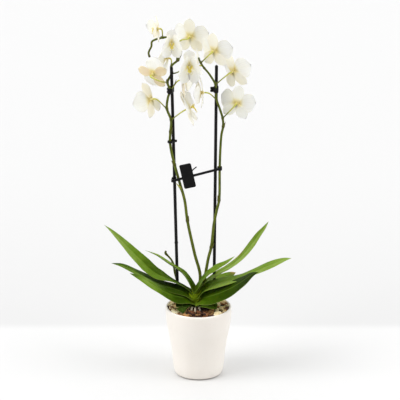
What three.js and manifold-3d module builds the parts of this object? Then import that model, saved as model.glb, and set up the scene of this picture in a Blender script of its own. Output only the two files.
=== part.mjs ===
// A potted moth orchid. Two flowering spikes, each held to a black stake, rise from a fan of strap
// leaves in a tapered white ceramic pot that is filled with bark. Millimetres, +Z up, origin at the
// middle of the pot's foot. Seen from the front, along +Y, X runs to the right.
import * as THREE from "three";
import { mergeVertices } from "three/addons/utils/BufferGeometryUtils.js";
import Module from "manifold-3d";

const wasm = await Module();
wasm.setup();

// ---- Driving dimensions ----
const GAP = 0.3; // clearance between pieces that touch

const POT_HEIGHT = 130;
const RIM_RADIUS = 60;
const FOOT_RADIUS = 41;
const POT_WALL = 4;
const POT_FLOOR = 7;
const POT_SIDES = 28;

const BARK_LEVEL = 122; // at the wall
const BARK_HEAP = 6; // rise towards the middle
const CHIP_COUNT = 22;
const CHIP_SIZE = 17;

const CROWN = { x: -6, radius: 10.5, bottom: 104, top: 160 };

const STAKE_RADIUS = 2.7;
const STAKE_Y = 14.5;
const STAKE_FOOT = 20;
const STAKES = {
  stake_left: { foot: -35, head: -48, top: 580 },
  stake_right: { foot: 27, head: 32, top: 583 },
};

const SPIKE_RADIUS = 2.5;
const SPIKE_TIP_RADIUS = 1.7;
const SPIKE_SIDES = 5;
const SPIKE_STEPS = 40;
const PEDICEL_RADIUS = 1.3;
const PEDICEL_SIDES = 4;
const PEDICEL_STEPS = 5;
const NODE_RADIUS = 3.1;
const NODE_STRETCH = 1.6; // a node is longer than it is wide

const PETAL_LENGTH = 33;
const PETAL_HALF_WIDTH = 19;
const SEPAL_LENGTH = 33;
const SEPAL_HALF_WIDTH = 10;
const TEPAL_THICKNESS = 0.9;
const TEPAL_START = 1; // from the middle of the heart
const TEPAL_CORNERS = 0.16; // how far the sides of a tepal fall short of its tip
const TEPAL_CURL = 0.9; // how much more a tepal sweeps forward at its tip than at its base
const TEPAL_CUP = 0.09; // depth of its hollow, of its half width
const HUB_RADIUS = 4;
const SEPAL_SPREAD = 144; // degrees from the top sepal to each lower one
const SEPAL_SWEEP = 0.3; // of the petals' forward sweep

const LEAF_THICKNESS = 1.6;
const LEAF_CELL = 19; // about, from station to station along a leaf
const LEAF_BASE_FOLD = 40; // degrees, where the leaf clasps the crown
const LEAF_BASE_SHARE = 0.25; // of its length, over which that fold opens

// Each leaf: its midrib from the crown to the tip, its half width, where it is widest, the share of that
// width at its base, how late it widens from there, how blunt its tip is, how far its halves fold up
// towards each other, and how far its face leans towards the front at even distances along it, in degrees.
const LEAVES = {
  leaf_left_1: {
    midrib: [[-11, 0, 150], [-22, 1, 163], [-36, 2, 172], [-48, 3, 178], [-79, 8, 190],
      [-109, 14, 217], [-138, 20, 246], [-160, 24, 268], [-171, 26, 277]],
    halfWidth: 17.5, widest: 0.36, base: 0.34, growth: 9, blunt: 1.6, fold: 6, lean: [-2, 2, 18, 6, 6],
  },
  leaf_left_2: {
    midrib: [[-11, -1, 144], [-22, -1, 154], [-43, -2, 163], [-70, -4, 173], [-92, -5, 185],
      [-115, -6, 198], [-138, -6, 210], [-158, -6, 215]],
    halfWidth: 15, widest: 0.5, base: 0.85, growth: 2, blunt: 1.6, fold: 6, lean: [32, 22, 4, 2, 2],
  },
  leaf_left_3: {
    midrib: [[-11, -5, 137], [-22, -10, 148], [-43, -19, 156], [-61, -26, 167], [-81, -32, 182],
      [-102, -36, 197], [-124, -38, 208]],
    halfWidth: 16.5, widest: 0.45, base: 0.95, growth: 2, blunt: 1.6, fold: -4, lean: [34, 28, 16, 10, 8],
  },
  leaf_left_4: {
    midrib: [[-10, 0, 158], [-14, 1, 169], [-20, 2, 181], [-28, 3, 192], [-39, 4, 201],
      [-52, 6, 209], [-64, 8, 217], [-75, 10, 224], [-98, 14, 233]],
    halfWidth: 11, widest: 0.3, base: 0.9, growth: 2, blunt: 1.1, fold: 16, lean: [20, 0, -14, -14, -14],
  },
  leaf_left_5: {
    midrib: [[-10, -6, 133], [-19, -12, 140], [-27, -20, 142], [-30, -29, 138], [-28, -38, 130]],
    halfWidth: 12.5, widest: 0.45, base: 0.75, growth: 2, blunt: 1.9, fold: 6, lean: [22, 24, 18, 8, 4],
  },
  leaf_right_1: {
    midrib: [[-2, 3, 154], [5, 5, 167], [24, 8, 182], [39, 12, 191], [54, 14, 199], [76, 18, 216],
      [98, 22, 242], [109, 24, 258], [119, 26, 271], [127, 28, 283]],
    halfWidth: 10.5, widest: 0.5, base: 0.6, growth: 2, blunt: 2.3, fold: 5, lean: [0, 2, 8, 14, 14],
  },
  leaf_right_2: {
    midrib: [[-1, 0, 146], [6, 0, 156], [17, -2, 167], [35, -4, 175], [68, -6, 184], [97, -6, 196],
      [129, -5, 210], [157, -3, 221], [168, -2, 223]],
    halfWidth: 17, widest: 0.4, base: 0.85, growth: 2, blunt: 2.2, fold: 4, lean: [28, 10, -4, 4, 14],
  },
  leaf_right_3: {
    midrib: [[-4, -3, 156], [0, -4, 167], [9, -6, 186], [19, -8, 198], [28, -10, 205],
      [39, -11, 212], [50, -12, 219], [66, -12, 231]],
    halfWidth: 13, widest: 0.4, base: 0.8, growth: 2, blunt: 1.1, fold: 4, lean: [20, 14, 10, 10, 10],
  },
  leaf_right_4: {
    midrib: [[0, -6, 139], [7, -8, 147], [18, -14, 153], [38, -22, 163], [57, -29, 174.5],
      [79, -35, 191], [96, -38, 205], [108, -40, 211]],
    halfWidth: 21.5, widest: 0.4, base: 0.95, growth: 2, blunt: 1.45, fold: -4, lean: [34, 32, 26, 20, 16],
  },
  leaf_right_5: {
    midrib: [[-1, 6, 146], [6, 10, 155], [21, 17, 164], [39, 24, 172], [54, 29, 177],
      [68, 33, 182]],
    halfWidth: 11.5, widest: 0.6, base: 0.7, growth: 2, blunt: 2.6, fold: 8, lean: [8, 8, 8, 8, 8],
  },
  leaf_right_6: {
    midrib: [[-3, -7, 132], [2, -12, 139], [11, -19, 143], [23, -28, 142], [33, -36, 138]],
    halfWidth: 13, widest: 0.5, base: 0.75, growth: 2, blunt: 2.2, fold: 6, lean: [26, 24, 20, 14, 10],
  },
};

// The stems of the two spikes, from the crown up to the tip of the spray, and the nodes along them,
// each the number of the point it sits at.
const SPIKES = {
  spike_left: {
    stem: [[-8, 4, 126], [-2, 7, 150], [3, 8, 185], [-7, 8, 228], [-20, 8, 292], [-25, 8, 331],
      [-34, 8, 365], [-43, 8, 399], [-49, 8, 426], [-51, 9, 444], [-50, 9, 460], [-49, 9, 482],
      [-56, 6, 504], [-54, 4, 526], [-50, 2, 539], [-55, 13, 551], [-48, 22, 564], [-48, 20.5, 578],
      [-36.5, 6, 594], [-31, -18, 618], [-38, -28, 637], [-50, -34, 647], [-62, -38, 648],
      [-81, -42, 642], [-82, -43, 634], [-87, -43, 622], [-85, -42, 613]],
    nodes: [4, 7, 10],
  },
  spike_right: {
    stem: [[1, 6, 124], [6, 8, 148], [14, 8, 197], [18, 8, 220], [23, 8, 241], [28, 8, 287],
      [33, 8, 312], [37, 8, 331], [38, 8, 391], [39, 9, 425], [41, 10, 454], [44, 10, 470],
      [43, 9, 485], [38, 7, 503], [32, 5, 522], [31, 4, 539], [30, 2, 550], [19, -6, 572],
      [10, -12, 585], [4, -18, 596], [0, -25, 608]],
    nodes: [4, 7, 11],
  },
};
const LOW_LEAVES = ["leaf_left_3", "leaf_left_5", "leaf_right_4", "leaf_right_6"]; // these touch the bark

const OLD_SPIKE = [[-12, 6, 138], [-21, 11, 143], [-30, 17, 150], [-37, 22, 164], [-43, 26, 184],
  [-46, 28, 201], [-50, 29, 209], [-56, 30, 216], [-60, 30, 221], [-59, 30, 226]];
const OLD_SPIKE_STEPS = 12;

// Each bloom: the heart of the flower, the way it faces (turn to the right of the front, then up), how
// far its top sepal leans, how far its tepals sweep forward, how far its petals rise above the level of
// the heart, and the point of the stem that its pedicel grows from. Angles are in degrees. Some blooms
// also state their size, the spread of their lower sepals or a point that the pedicel goes through.
const BLOOMS = {
  left_bloom_1: { heart: [-17, -8, 509], turn: 80, up: 26, sweep: 4, raise: 34, root: 11 },
  left_bloom_2: { heart: [-84, -6, 525], turn: -122, up: -20, lean: -10, sweep: 18, raise: 16, root: 12 },
  left_bloom_3: {
    heart: [-80, 2, 570], turn: 155, up: 10, lean: -78, sweep: 8, raise: 6, size: 0.88, root: 15,
    via: [-67, -18, 562],
  },
  left_bloom_4: { heart: [-56, 35, 590], turn: -104, up: 10, sweep: 8, raise: 6, root: 17 },
  left_bloom_5: {
    heart: [-47, -54, 642], turn: 4, up: 0, sweep: 30, raise: 22, spread: 150, size: 0.85, root: 18,
  },
  left_bloom_6: { heart: [-72, -46, 666], turn: -72, up: 0, sweep: 16, raise: 6, size: 0.7, root: 22 },
  left_bloom_7: {
    heart: [-15, 16, 635], turn: 162, up: 8, sweep: 8, raise: 6, root: 19, via: [-33, -6, 632],
  },
  left_bloom_8: {
    heart: [-16, -50, 600], turn: 4, up: -4, sweep: 30, raise: 24, spread: 157, root: 16,
    via: [-37.5, 10, 570],
  },
  left_bloom_9: { heart: [-24, 0, 559], turn: 98, up: -8, sweep: 8, raise: 6, size: 0.9, root: 14 },
  right_bloom_1: { heart: [68, 2, 516], turn: 166, up: 6, lean: 10, sweep: 10, raise: 6, root: 12 },
  right_bloom_2: { heart: [61, 14, 571], turn: 142, up: 6, lean: -18, sweep: 14, raise: 6, root: 16 },
  right_bloom_3: { heart: [27, -20, 619], turn: 152, up: 10, sweep: 12, raise: 6, root: 19 },
  right_bloom_4: { heart: [-3, 8, 583], turn: -78, up: 2, sweep: 8, raise: 6, size: 0.95, root: 18 },
  right_bloom_5: { heart: [6, -11, 539], turn: -94, up: -4, sweep: 12, raise: 6, size: 0.85, root: 14 },
};

// ---- Solids ----
// A closed solid from a geometry, with shared corners joined and faces turned outwards.
function solid(geometry) {
  const bare = new THREE.BufferGeometry();
  bare.setAttribute("position", geometry.getAttribute("position"));
  bare.setIndex(geometry.index);
  const joined = mergeVertices(bare, 1e-4);
  const corners = joined.index.array;
  const faces = [];
  for (let i = 0; i < corners.length; i += 3) {
    const [a, b, c] = corners.subarray(i, i + 3);
    if (a !== b && b !== c && c !== a) faces.push(a, b, c);
  }
  const build = (triVerts) =>
    new wasm.Manifold(
      new wasm.Mesh({ numProp: 3, vertProperties: joined.attributes.position.array, triVerts }),
    );
  const made = build(new Uint32Array(faces));
  return made.volume() > 0 ? made : build(new Uint32Array(faces.reverse()));
}

const fuse = (solids) => solids.reduce((sum, next) => sum.add(next));

const cut = (body, cutters) => cutters.reduce((rest, cutter) => rest.subtract(cutter), body);

// The largest closed body of a solid: loose scraps go, and sealed hollows are filled.
function whole(made) {
  const bodies = made.decompose();
  return bodies.reduce((best, body) => (body.volume() > best.volume() ? body : best));
}

function geometryOf(made) {
  const mesh = made.getMesh();
  const positions = new Float32Array(mesh.numVert * 3);
  for (let i = 0; i < mesh.numVert; i++) {
    const at = i * mesh.numProp;
    positions.set(mesh.vertProperties.subarray(at, at + 3), i * 3);
  }
  const geometry = new THREE.BufferGeometry();
  geometry.setAttribute("position", new THREE.BufferAttribute(positions, 3));
  geometry.setIndex(new THREE.BufferAttribute(mesh.triVerts, 1));
  return geometry;
}

const vector = ([x, y, z]) => new THREE.Vector3(x, y, z);

// A body of revolution about +Z from its outline, given as [radius, height] pairs.
function turned(outline, sides) {
  const points = outline.map(([radius, height]) => new THREE.Vector2(radius, height));
  return new THREE.LatheGeometry(points, sides).rotateX(Math.PI / 2);
}

// A round stem along a smooth curve, its radius running evenly from the first to the last value.
function stem(curve, firstRadius, lastRadius, sides, steps) {
  const ring = new THREE.Shape(
    Array.from({ length: sides }, (_, i) => {
      const angle = (i * 2 * Math.PI) / sides;
      return new THREE.Vector2(Math.cos(angle), Math.sin(angle));
    }),
  );
  const geometry = new THREE.ExtrudeGeometry(ring, { steps, extrudePath: curve });
  const stations = curve.getSpacedPoints(steps);
  const corners = geometry.getAttribute("position");
  const corner = new THREE.Vector3();
  for (let i = 0; i < corners.count; i++) {
    corner.fromBufferAttribute(corners, i);
    const away = stations.map((station) => station.distanceToSquared(corner));
    const nearest = away.indexOf(Math.min(...away));
    const radius = THREE.MathUtils.lerp(firstRadius, lastRadius, nearest / steps);
    corner.sub(stations[nearest]).multiplyScalar(radius).add(stations[nearest]);
    corners.setXYZ(i, corner.x, corner.y, corner.z);
  }
  return solid(geometry);
}

const smooth = (points) => new THREE.CatmullRomCurve3(points.map(vector), false, "centripetal");

// A small faceted ball, used for the nodes of a stem.
function ball(centre, radius, stretch = 1) {
  const geometry = new THREE.OctahedronGeometry(radius, 0).scale(1, 1, stretch);
  return solid(geometry.translate(centre.x, centre.y, centre.z));
}

// A thin closed blade. at(s, t) gives its middle surface, s along from 0 to 1 and t across from -1 to
// 1; both faces lie half a thickness off it along its normal and are split into triangles alike.
function blade(at, along, across, thickness) {
  const step = 1e-3;
  const faces = [1, -1].map((side) => (i, j) => {
    const s = i / along;
    const t = (2 * j) / across - 1;
    const middle = at(s, t);
    const forward = at(s + step, t).sub(at(s - step, t));
    const sideways = at(s, t + step).sub(at(s, t - step));
    return middle.addScaledVector(forward.cross(sideways).normalize(), (side * thickness) / 2);
  });
  const positions = [];
  const indices = [];
  const place = faces.map((face) => {
    const first = positions.length / 3;
    for (let i = 0; i <= along; i++) {
      for (let j = 0; j <= across; j++) positions.push(...face(i, j).toArray());
    }
    return (i, j) => first + i * (across + 1) + j;
  });
  const [top, bottom] = place;
  for (let i = 0; i < along; i++) {
    for (let j = 0; j < across; j++) {
      indices.push(top(i, j), top(i + 1, j), top(i, j + 1));
      indices.push(top(i, j + 1), top(i + 1, j), top(i + 1, j + 1));
      indices.push(bottom(i, j), bottom(i, j + 1), bottom(i + 1, j));
      indices.push(bottom(i, j + 1), bottom(i + 1, j + 1), bottom(i + 1, j));
    }
  }
  const wall = (i1, j1, i2, j2) => {
    indices.push(top(i1, j1), top(i2, j2), bottom(i1, j1));
    indices.push(top(i2, j2), bottom(i2, j2), bottom(i1, j1));
  };
  for (let i = 0; i < along; i++) {
    wall(i + 1, 0, i, 0);
    wall(i, across, i + 1, across);
  }
  for (let j = 0; j < across; j++) {
    wall(0, j, 0, j + 1);
    wall(along, j + 1, along, j);
  }
  const geometry = new THREE.BufferGeometry();
  geometry.setAttribute("position", new THREE.Float32BufferAttribute(positions, 3));
  geometry.setIndex(indices);
  return solid(geometry);
}

// ---- Pot ----
const POT_OUTLINE = [[0, 0], [FOOT_RADIUS - 2, 0], [FOOT_RADIUS, 0.8], [44.6, 6], [46.4, 18],
  [49.4, 48], [54.2, 77], [57.9, 96], [59.6, 114]];

function pot() {
  const lip = [[RIM_RADIUS, POT_HEIGHT - 4], [RIM_RADIUS - 0.4, POT_HEIGHT - 1.2],
    [RIM_RADIUS - 1.6, POT_HEIGHT], [RIM_RADIUS - 2.8, POT_HEIGHT],
    [RIM_RADIUS - POT_WALL, POT_HEIGHT - 1.4]];
  const inside = [7, 5, 4].map((i) => [POT_OUTLINE[i][0] - POT_WALL, POT_OUTLINE[i][1]]);
  const floor = [[POT_OUTLINE[3][0] - POT_WALL, POT_FLOOR], [0, POT_FLOOR]];
  return solid(turned([...POT_OUTLINE, ...lip, ...inside, ...floor], POT_SIDES));
}

// ---- Bark ----
function random(seed) {
  let state = seed;
  return () => {
    state = (state * 16807) % 2147483647;
    return state / 2147483647;
  };
}

const heapHeight = (radius) => BARK_LEVEL + BARK_HEAP * (1 - (radius / 55) ** 2);

function barkBed() {
  const inner = [4, 5, 7].map((i) => [POT_OUTLINE[i][0] - POT_WALL - 0.9, POT_OUTLINE[i][1]]);
  const outline = [[0, POT_FLOOR + GAP], [36, POT_FLOOR + GAP], ...inner,
    [RIM_RADIUS - POT_WALL - 0.9, BARK_LEVEL], [36, heapHeight(36)], [18, heapHeight(18)],
    [0, heapHeight(0)]];
  return solid(turned(outline, POT_SIDES));
}

// A chip of bark: a flat block with uneven corners, lying at a slant and sunk into the heap.
function chip(next) {
  const size = CHIP_SIZE * (0.7 + 0.6 * next());
  const geometry = new THREE.BoxGeometry(size, size * 0.6, 4.5 + 2 * next());
  const shrink = Array.from({ length: 8 }, () => 0.72 + 0.28 * next());
  const corners = geometry.getAttribute("position");
  for (let i = 0; i < corners.count; i++) {
    const [x, y, z] = [corners.getX(i), corners.getY(i), corners.getZ(i)];
    const which = (x > 0 ? 1 : 0) + (y > 0 ? 2 : 0) + (z > 0 ? 4 : 0);
    corners.setXYZ(i, x * shrink[which], y * shrink[which], z);
  }
  geometry.rotateX((next() - 0.5) * 1.1).rotateY((next() - 0.5) * 1.1).rotateZ(next() * Math.PI);
  return { geometry, reach: size / 2 };
}

function bark(holes) {
  const next = random(7);
  const chips = Array.from({ length: CHIP_COUNT }, (_, i) => {
    const { geometry, reach } = chip(next);
    const angle = i * 2.39996;
    const radius = (RIM_RADIUS - POT_WALL - reach - 2) * Math.sqrt((i + 0.5) / CHIP_COUNT);
    const [x, y] = [radius * Math.cos(angle), radius * Math.sin(angle)];
    return solid(geometry.translate(x, y, heapHeight(radius) + 0.8 + 1.6 * next()));
  });
  return whole(cut(fuse([barkBed(), ...chips]), holes));
}

// ---- Crown and roots ----
function crown(grow = 0) {
  const { x, radius, bottom, top } = CROWN;
  const r = radius + grow;
  const outline = [[0, bottom - grow], [r * 0.6, bottom - grow], [r, bottom + 10], [r * 0.95, 142],
    [r * 0.6, top - 4], [0, top + grow]];
  return solid(turned(outline, 10).translate(x, 1, 0));
}

const ROOTS = {
  root_1: [[-9, -6, 131], [-11, -14, 134], [-13, -22, 130], [-14, -26, 116]],
  root_2: [[-6, -6, 128], [-6, -15, 132], [-6, -24, 129], [-6, -28, 114]],
  root_3: [[-2, -6, 131], [0, -14, 134], [2, -21, 131], [4, -25, 116]],
};
const ROOT_RADIUS = 1.9;

const root = (points, grow = 0) =>
  stem(smooth(points), ROOT_RADIUS + grow, ROOT_RADIUS * 0.9 + grow, 6, 8);

// ---- Leaves ----
// Half the width of a strap leaf at s along it: a clasping base, widest past the middle, then a point.
function leafOutline(s, { widest, base, growth, blunt }) {
  if (s < widest) return base + (1 - base) * Math.sin((Math.PI / 2) * Math.max(s / widest, 0)) ** growth;
  const beyond = Math.min((s - widest) / (1 - widest), 1);
  return Math.max(Math.cos((Math.PI / 2) * beyond ** blunt), 0.05);
}

// The value at s, from 0 to 1, of a list of values at even distances.
function along(values, s) {
  const place = Math.min(Math.max(s, 0), 1) * (values.length - 1);
  const i = Math.min(Math.floor(place), values.length - 2);
  return THREE.MathUtils.lerp(values[i], values[i + 1], place - i);
}

function leaf(row, grow = 0) {
  const { midrib, halfWidth, fold, lean } = row;
  const curve = smooth(midrib);
  const up = new THREE.Vector3(0, 0, 1);
  const at = (s, t) => {
    const onCurve = Math.min(Math.max(s, 0), 1);
    const tangent = curve.getTangentAt(onCurve);
    const far = new THREE.Vector3().crossVectors(tangent, up);
    if (far.y < 0) far.negate();
    far.normalize();
    const face = new THREE.Vector3().crossVectors(far, tangent);
    if (face.z < 0) face.negate();
    const closed = Math.max(1 - Math.max(s, 0) / LEAF_BASE_SHARE, 0) ** 1.5;
    const foldHere = THREE.MathUtils.lerp(fold, LEAF_BASE_FOLD, Math.min(closed, 1));
    const lift = THREE.MathUtils.degToRad(along(lean, s) + Math.sign(t) * foldHere);
    const reach = (leafOutline(s, row) * halfWidth + grow) * t;
    return curve
      .getPointAt(onCurve)
      .addScaledVector(tangent, (s - onCurve) * 100)
      .addScaledVector(far, reach * Math.cos(lift))
      .addScaledVector(face, reach * Math.sin(lift));
  };
  const cells = Math.max(6, Math.round(curve.getLength() / LEAF_CELL));
  return blade(at, cells, 2, LEAF_THICKNESS + 2 * grow);
}

// ---- Spikes ----
function spikeStem({ stem: points }, grow = 0) {
  return stem(smooth(points), SPIKE_RADIUS + grow, SPIKE_TIP_RADIUS + grow, SPIKE_SIDES, SPIKE_STEPS);
}

// The way a bloom faces, and the sideways and upward directions of its face.
function bloomAxes({ turn, up, lean = 0 }) {
  const [turnBy, upBy, leanBy] = [turn, up, lean].map(THREE.MathUtils.degToRad);
  const front = new THREE.Vector3(
    Math.sin(turnBy) * Math.cos(upBy), -Math.cos(turnBy) * Math.cos(upBy), Math.sin(upBy),
  );
  const top = new THREE.Vector3(0, 0, 1).addScaledVector(front, -front.z).normalize();
  top.applyAxisAngle(front, leanBy);
  const right = new THREE.Vector3().crossVectors(top, front);
  return { right, top, front };
}

// The point of a faceted stem's axis nearest to one of the points that the stem was drawn through.
function onStem(spike, i) {
  const wanted = vector(spike.stem[i]);
  const stations = smooth(spike.stem).getSpacedPoints(SPIKE_STEPS);
  const nearest = stations
    .slice(1)
    .map((end, k) => new THREE.Line3(stations[k], end).closestPointToPoint(wanted, true, new THREE.Vector3()));
  return nearest.reduce((best, point) =>
    point.distanceTo(wanted) < best.distanceTo(wanted) ? point : best);
}

// A pedicel leaves the stem at its root and curves round to meet the back of the bloom.
function pedicel(spike, bloom, grow = 0) {
  const root = onStem(spike, bloom.root);
  const { front } = bloomAxes(bloom);
  const end = vector(bloom.heart).addScaledVector(front, -HUB_RADIUS - GAP);
  const span = root.distanceTo(end);
  const out = end.clone().sub(root).normalize();
  const leave = root.clone().addScaledVector(out, span * 0.35);
  const arrive = end.clone().addScaledVector(front, -Math.min(span * 0.4, 12));
  const curve = bloom.via
    ? smooth([root.toArray(), bloom.via, arrive.lerp(end, 0.4).toArray(), end.toArray()])
    : new THREE.CubicBezierCurve3(root, leave, arrive, end);
  const rootRadius = PEDICEL_RADIUS * 1.2;
  return stem(curve, rootRadius + grow, PEDICEL_RADIUS + grow, PEDICEL_SIDES, PEDICEL_STEPS);
}

const bloomsOf = (spikeName) =>
  Object.entries(BLOOMS)
    .filter(([name]) => name.split("_")[0] === spikeName.split("_")[1])
    .map(([, bloom]) => bloom);

function spike(name, grow = 0) {
  const row = SPIKES[name];
  const pedicels = bloomsOf(name).map((bloom) => pedicel(row, bloom, grow));
  const nodes = row.nodes.map((i) => ball(onStem(row, i), NODE_RADIUS + grow, NODE_STRETCH));
  return fuse([spikeStem(row, grow), ...pedicels, ...nodes]);
}

function oldSpike() {
  const end = ball(vector(OLD_SPIKE.at(-1)), NODE_RADIUS);
  return stem(smooth(OLD_SPIKE), SPIKE_RADIUS, SPIKE_TIP_RADIUS, SPIKE_SIDES, OLD_SPIKE_STEPS).add(end);
}

// ---- Blooms ----
// A tepal points out from the heart at an angle in the face of the bloom, and sweeps forward.
function tepal(row, { right, top, front }, heart) {
  const { angle, length, halfWidth, outline, steps, cells, sweep, lift } = row;
  const angleBy = THREE.MathUtils.degToRad(angle);
  const out = right.clone().multiplyScalar(Math.cos(angleBy));
  out.addScaledVector(top, Math.sin(angleBy));
  const across = new THREE.Vector3().crossVectors(front, out);
  const sweepBy = THREE.MathUtils.degToRad(sweep);
  const at = (s, t) => {
    const width = halfWidth * outline(Math.max(s, 0));
    const along = TEPAL_START + length * (s - TEPAL_CORNERS * s * s * t * t);
    const bend = sweepBy * (1 + TEPAL_CURL * s);
    const cup = TEPAL_CUP * width * t * t;
    return heart
      .clone()
      .addScaledVector(out, along * Math.cos(bend))
      .addScaledVector(across, width * t)
      .addScaledVector(front, along * Math.sin(bend) + lift - cup);
  };
  return blade(at, steps, cells, TEPAL_THICKNESS);
}

const PETAL = {
  length: PETAL_LENGTH, halfWidth: PETAL_HALF_WIDTH, lift: 1.6, steps: 4, cells: 2,
  outline: (s) => 0.1 + 0.9 * Math.sin(Math.PI * 0.82 * s ** 0.75) ** 0.75,
};
const SEPAL = {
  length: SEPAL_LENGTH, halfWidth: SEPAL_HALF_WIDTH, lift: -1.6, steps: 3, cells: 2,
  outline: (s) => 0.18 + 0.82 * Math.sin(Math.PI * 0.88 * Math.min(s, 1)),
};

// The heart joins the tepals; its corners point to the pedicel behind it and to the lip before it.
function hub(heart, { right, top, front }) {
  const geometry = new THREE.OctahedronGeometry(HUB_RADIUS, 0);
  geometry.applyMatrix4(new THREE.Matrix4().makeBasis(right, top, front));
  return solid(geometry.translate(heart.x, heart.y, heart.z));
}

function tepals(bloom) {
  const axes = bloomAxes(bloom);
  const heart = vector(bloom.heart);
  const { sweep, raise, spread = SEPAL_SPREAD, size = 1 } = bloom;
  const sized = ({ length, halfWidth }) => ({ length: length * size, halfWidth: halfWidth * size });
  const petals = [raise, 180 - raise].map((angle) =>
    tepal({ ...PETAL, ...sized(PETAL), angle, sweep }, axes, heart),
  );
  const sepals = [90, 90 + spread, 90 - spread].map((angle) =>
    tepal({ ...SEPAL, ...sized(SEPAL), angle, sweep: sweep * SEPAL_SWEEP }, axes, heart),
  );
  return whole(fuse([hub(heart, axes), ...petals, ...sepals]));
}

// The lip: a column over a lip whose side lobes stand up on both sides of it and whose middle lobe
// runs forward, then down to a point.
const LIP_HALF_WIDTHS = [3.2, 6.3, 2.6, 4.4, 0.8];

function lip(bloom) {
  const { right, top, front } = bloomAxes(bloom);
  const heart = vector(bloom.heart).addScaledVector(front, HUB_RADIUS + GAP);
  const size = bloom.size ?? 1;
  const place = (x, y, z) => {
    const point = heart.clone().addScaledVector(right, x * size);
    return point.addScaledVector(top, y * size).addScaledVector(front, z * size);
  };
  const column = stem(new THREE.LineCurve3(place(0, 0, 0), place(0, 3.2, 8)), 2, 2.6, 4, 1);
  const lobes = (s, t) => {
    const station = Math.min(Math.max(s, 0), 0.999) * (LIP_HALF_WIDTHS.length - 1);
    const [from, to] = LIP_HALF_WIDTHS.slice(Math.floor(station));
    const width = THREE.MathUtils.lerp(from, to, station % 1);
    const upright = Math.max(1 - 2 * Math.abs(s - 0.25), 0) * 6 * t * t;
    return place(width * t, upright - 0.5 - 9 * s, 1.5 + 10 * s - 6 * s * s);
  };
  return whole(column.add(blade(lobes, LIP_HALF_WIDTHS.length - 1, 2, 1)));
}

// ---- Stakes, clips and tag ----
function stake({ foot, head, top }, grow = 0) {
  const line = new THREE.LineCurve3(
    new THREE.Vector3(foot, STAKE_Y, STAKE_FOOT - grow), new THREE.Vector3(head, STAKE_Y, top + grow),
  );
  return stem(line, STAKE_RADIUS + grow, STAKE_RADIUS + grow, 8, 1);
}

// A rod with flat round-cornered section that joins two points at one height, as a clip's body.
function clipBody(from, to, radius, height) {
  const start = vector(from);
  const span = vector(to).sub(start);
  const length = Math.hypot(span.x, span.y);
  const shape = new THREE.Shape();
  shape.absarc(0, 0, radius, Math.PI / 2, (Math.PI * 3) / 2);
  shape.absarc(length, 0, radius, -Math.PI / 2, Math.PI / 2);
  const geometry = new THREE.ExtrudeGeometry(shape, {
    depth: height, bevelEnabled: false, curveSegments: CLIP_SEGMENTS,
  });
  geometry.translate(0, 0, -height / 2).rotateZ(Math.atan2(span.y, span.x));
  return solid(geometry.translate(start.x, start.y, start.z));
}

// Each clip reaches round its stake and the stem beside it; the grip stands out on one side.
const CLIPS = {
  clip_left_low: {
    stakeAt: [-45.8, STAKE_Y, 441], stemAt: [-51, 9, 441], height: 4, grip: [-40.5, STAKE_Y, 441],
  },
  clip_left_high: {
    stakeAt: [-47.4, STAKE_Y, 538], stemAt: [-50.5, 2.5, 538], height: 10, grip: [-54, 6, 538],
  },
  clip_right: { stakeAt: [31.3, STAKE_Y, 539], stemAt: [31, 4, 539], height: 9, grip: [23, 9, 539] },
};
const CLIP_RADIUS = 4.4;
const GRIP_RADIUS = 2.2;
const CLIP_SEGMENTS = 6; // of each round end

function clip({ stakeAt, stemAt, height, grip }, holes) {
  const middle = vector(stakeAt).add(vector(stemAt)).multiplyScalar(0.5).toArray();
  const body = clipBody(stakeAt, stemAt, CLIP_RADIUS, height);
  return whole(cut(body.add(clipBody(middle, grip, GRIP_RADIUS, height * 0.8)), holes));
}

// The tie bar runs in front of both stems, with a round holder at each end and a stiff tail.
const BAR = {
  from: [-46, 3.8, 369],
  to: [42, 3.8, 393],
  height: 4.6,
  depth: 3,
  holders: [
    { from: [-43.6, STAKE_Y, 369.5], to: [-44.6, 4, 369.5], height: 5 },
    { from: [37.9, 8, 392], to: [37.9, 4, 392], height: 5.5 },
  ],
  tail: [[-15, 4, 380], [-12, 3.8, 387], [-9, 3.6, 391], [-3, 3, 396]],
  tailRadius: 1.2,
};

function tieBar(holes) {
  const span = vector(BAR.to).sub(vector(BAR.from));
  const rod = new THREE.BoxGeometry(span.length(), BAR.depth, BAR.height);
  rod.translate(span.length() / 2, 0, 0).rotateY(-Math.atan2(span.z, span.x)).translate(...BAR.from);
  const holders = BAR.holders.map(({ from, to, height }) => clipBody(from, to, CLIP_RADIUS, height));
  const tail = stem(smooth(BAR.tail), BAR.tailRadius, BAR.tailRadius * 0.8, 5, 4);
  return whole(cut(fuse([solid(rod), ...holders, tail]), holes));
}

// The hang tag is a bare card with round corners that hangs in front of the bar.
const TAG = { width: 21.5, height: 46, depth: 1.2, corner: 3, tilt: 12.5, place: [-19.5, 2, 379] };

function tag() {
  const { width, height, depth, corner, tilt, place } = TAG;
  const [x, y] = [width / 2 - corner, height / 2 - corner];
  const shape = new THREE.Shape();
  shape.absarc(x, y, corner, 0, Math.PI / 2);
  shape.absarc(-x, y, corner, Math.PI / 2, Math.PI);
  shape.absarc(-x, -y, corner, Math.PI, Math.PI * 1.5);
  shape.absarc(x, -y, corner, Math.PI * 1.5, Math.PI * 2);
  const geometry = new THREE.ExtrudeGeometry(shape, { depth, bevelEnabled: false, curveSegments: 3 });
  geometry.rotateX(Math.PI / 2).rotateY(THREE.MathUtils.degToRad(-tilt));
  return solid(geometry.translate(...place));
}

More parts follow.
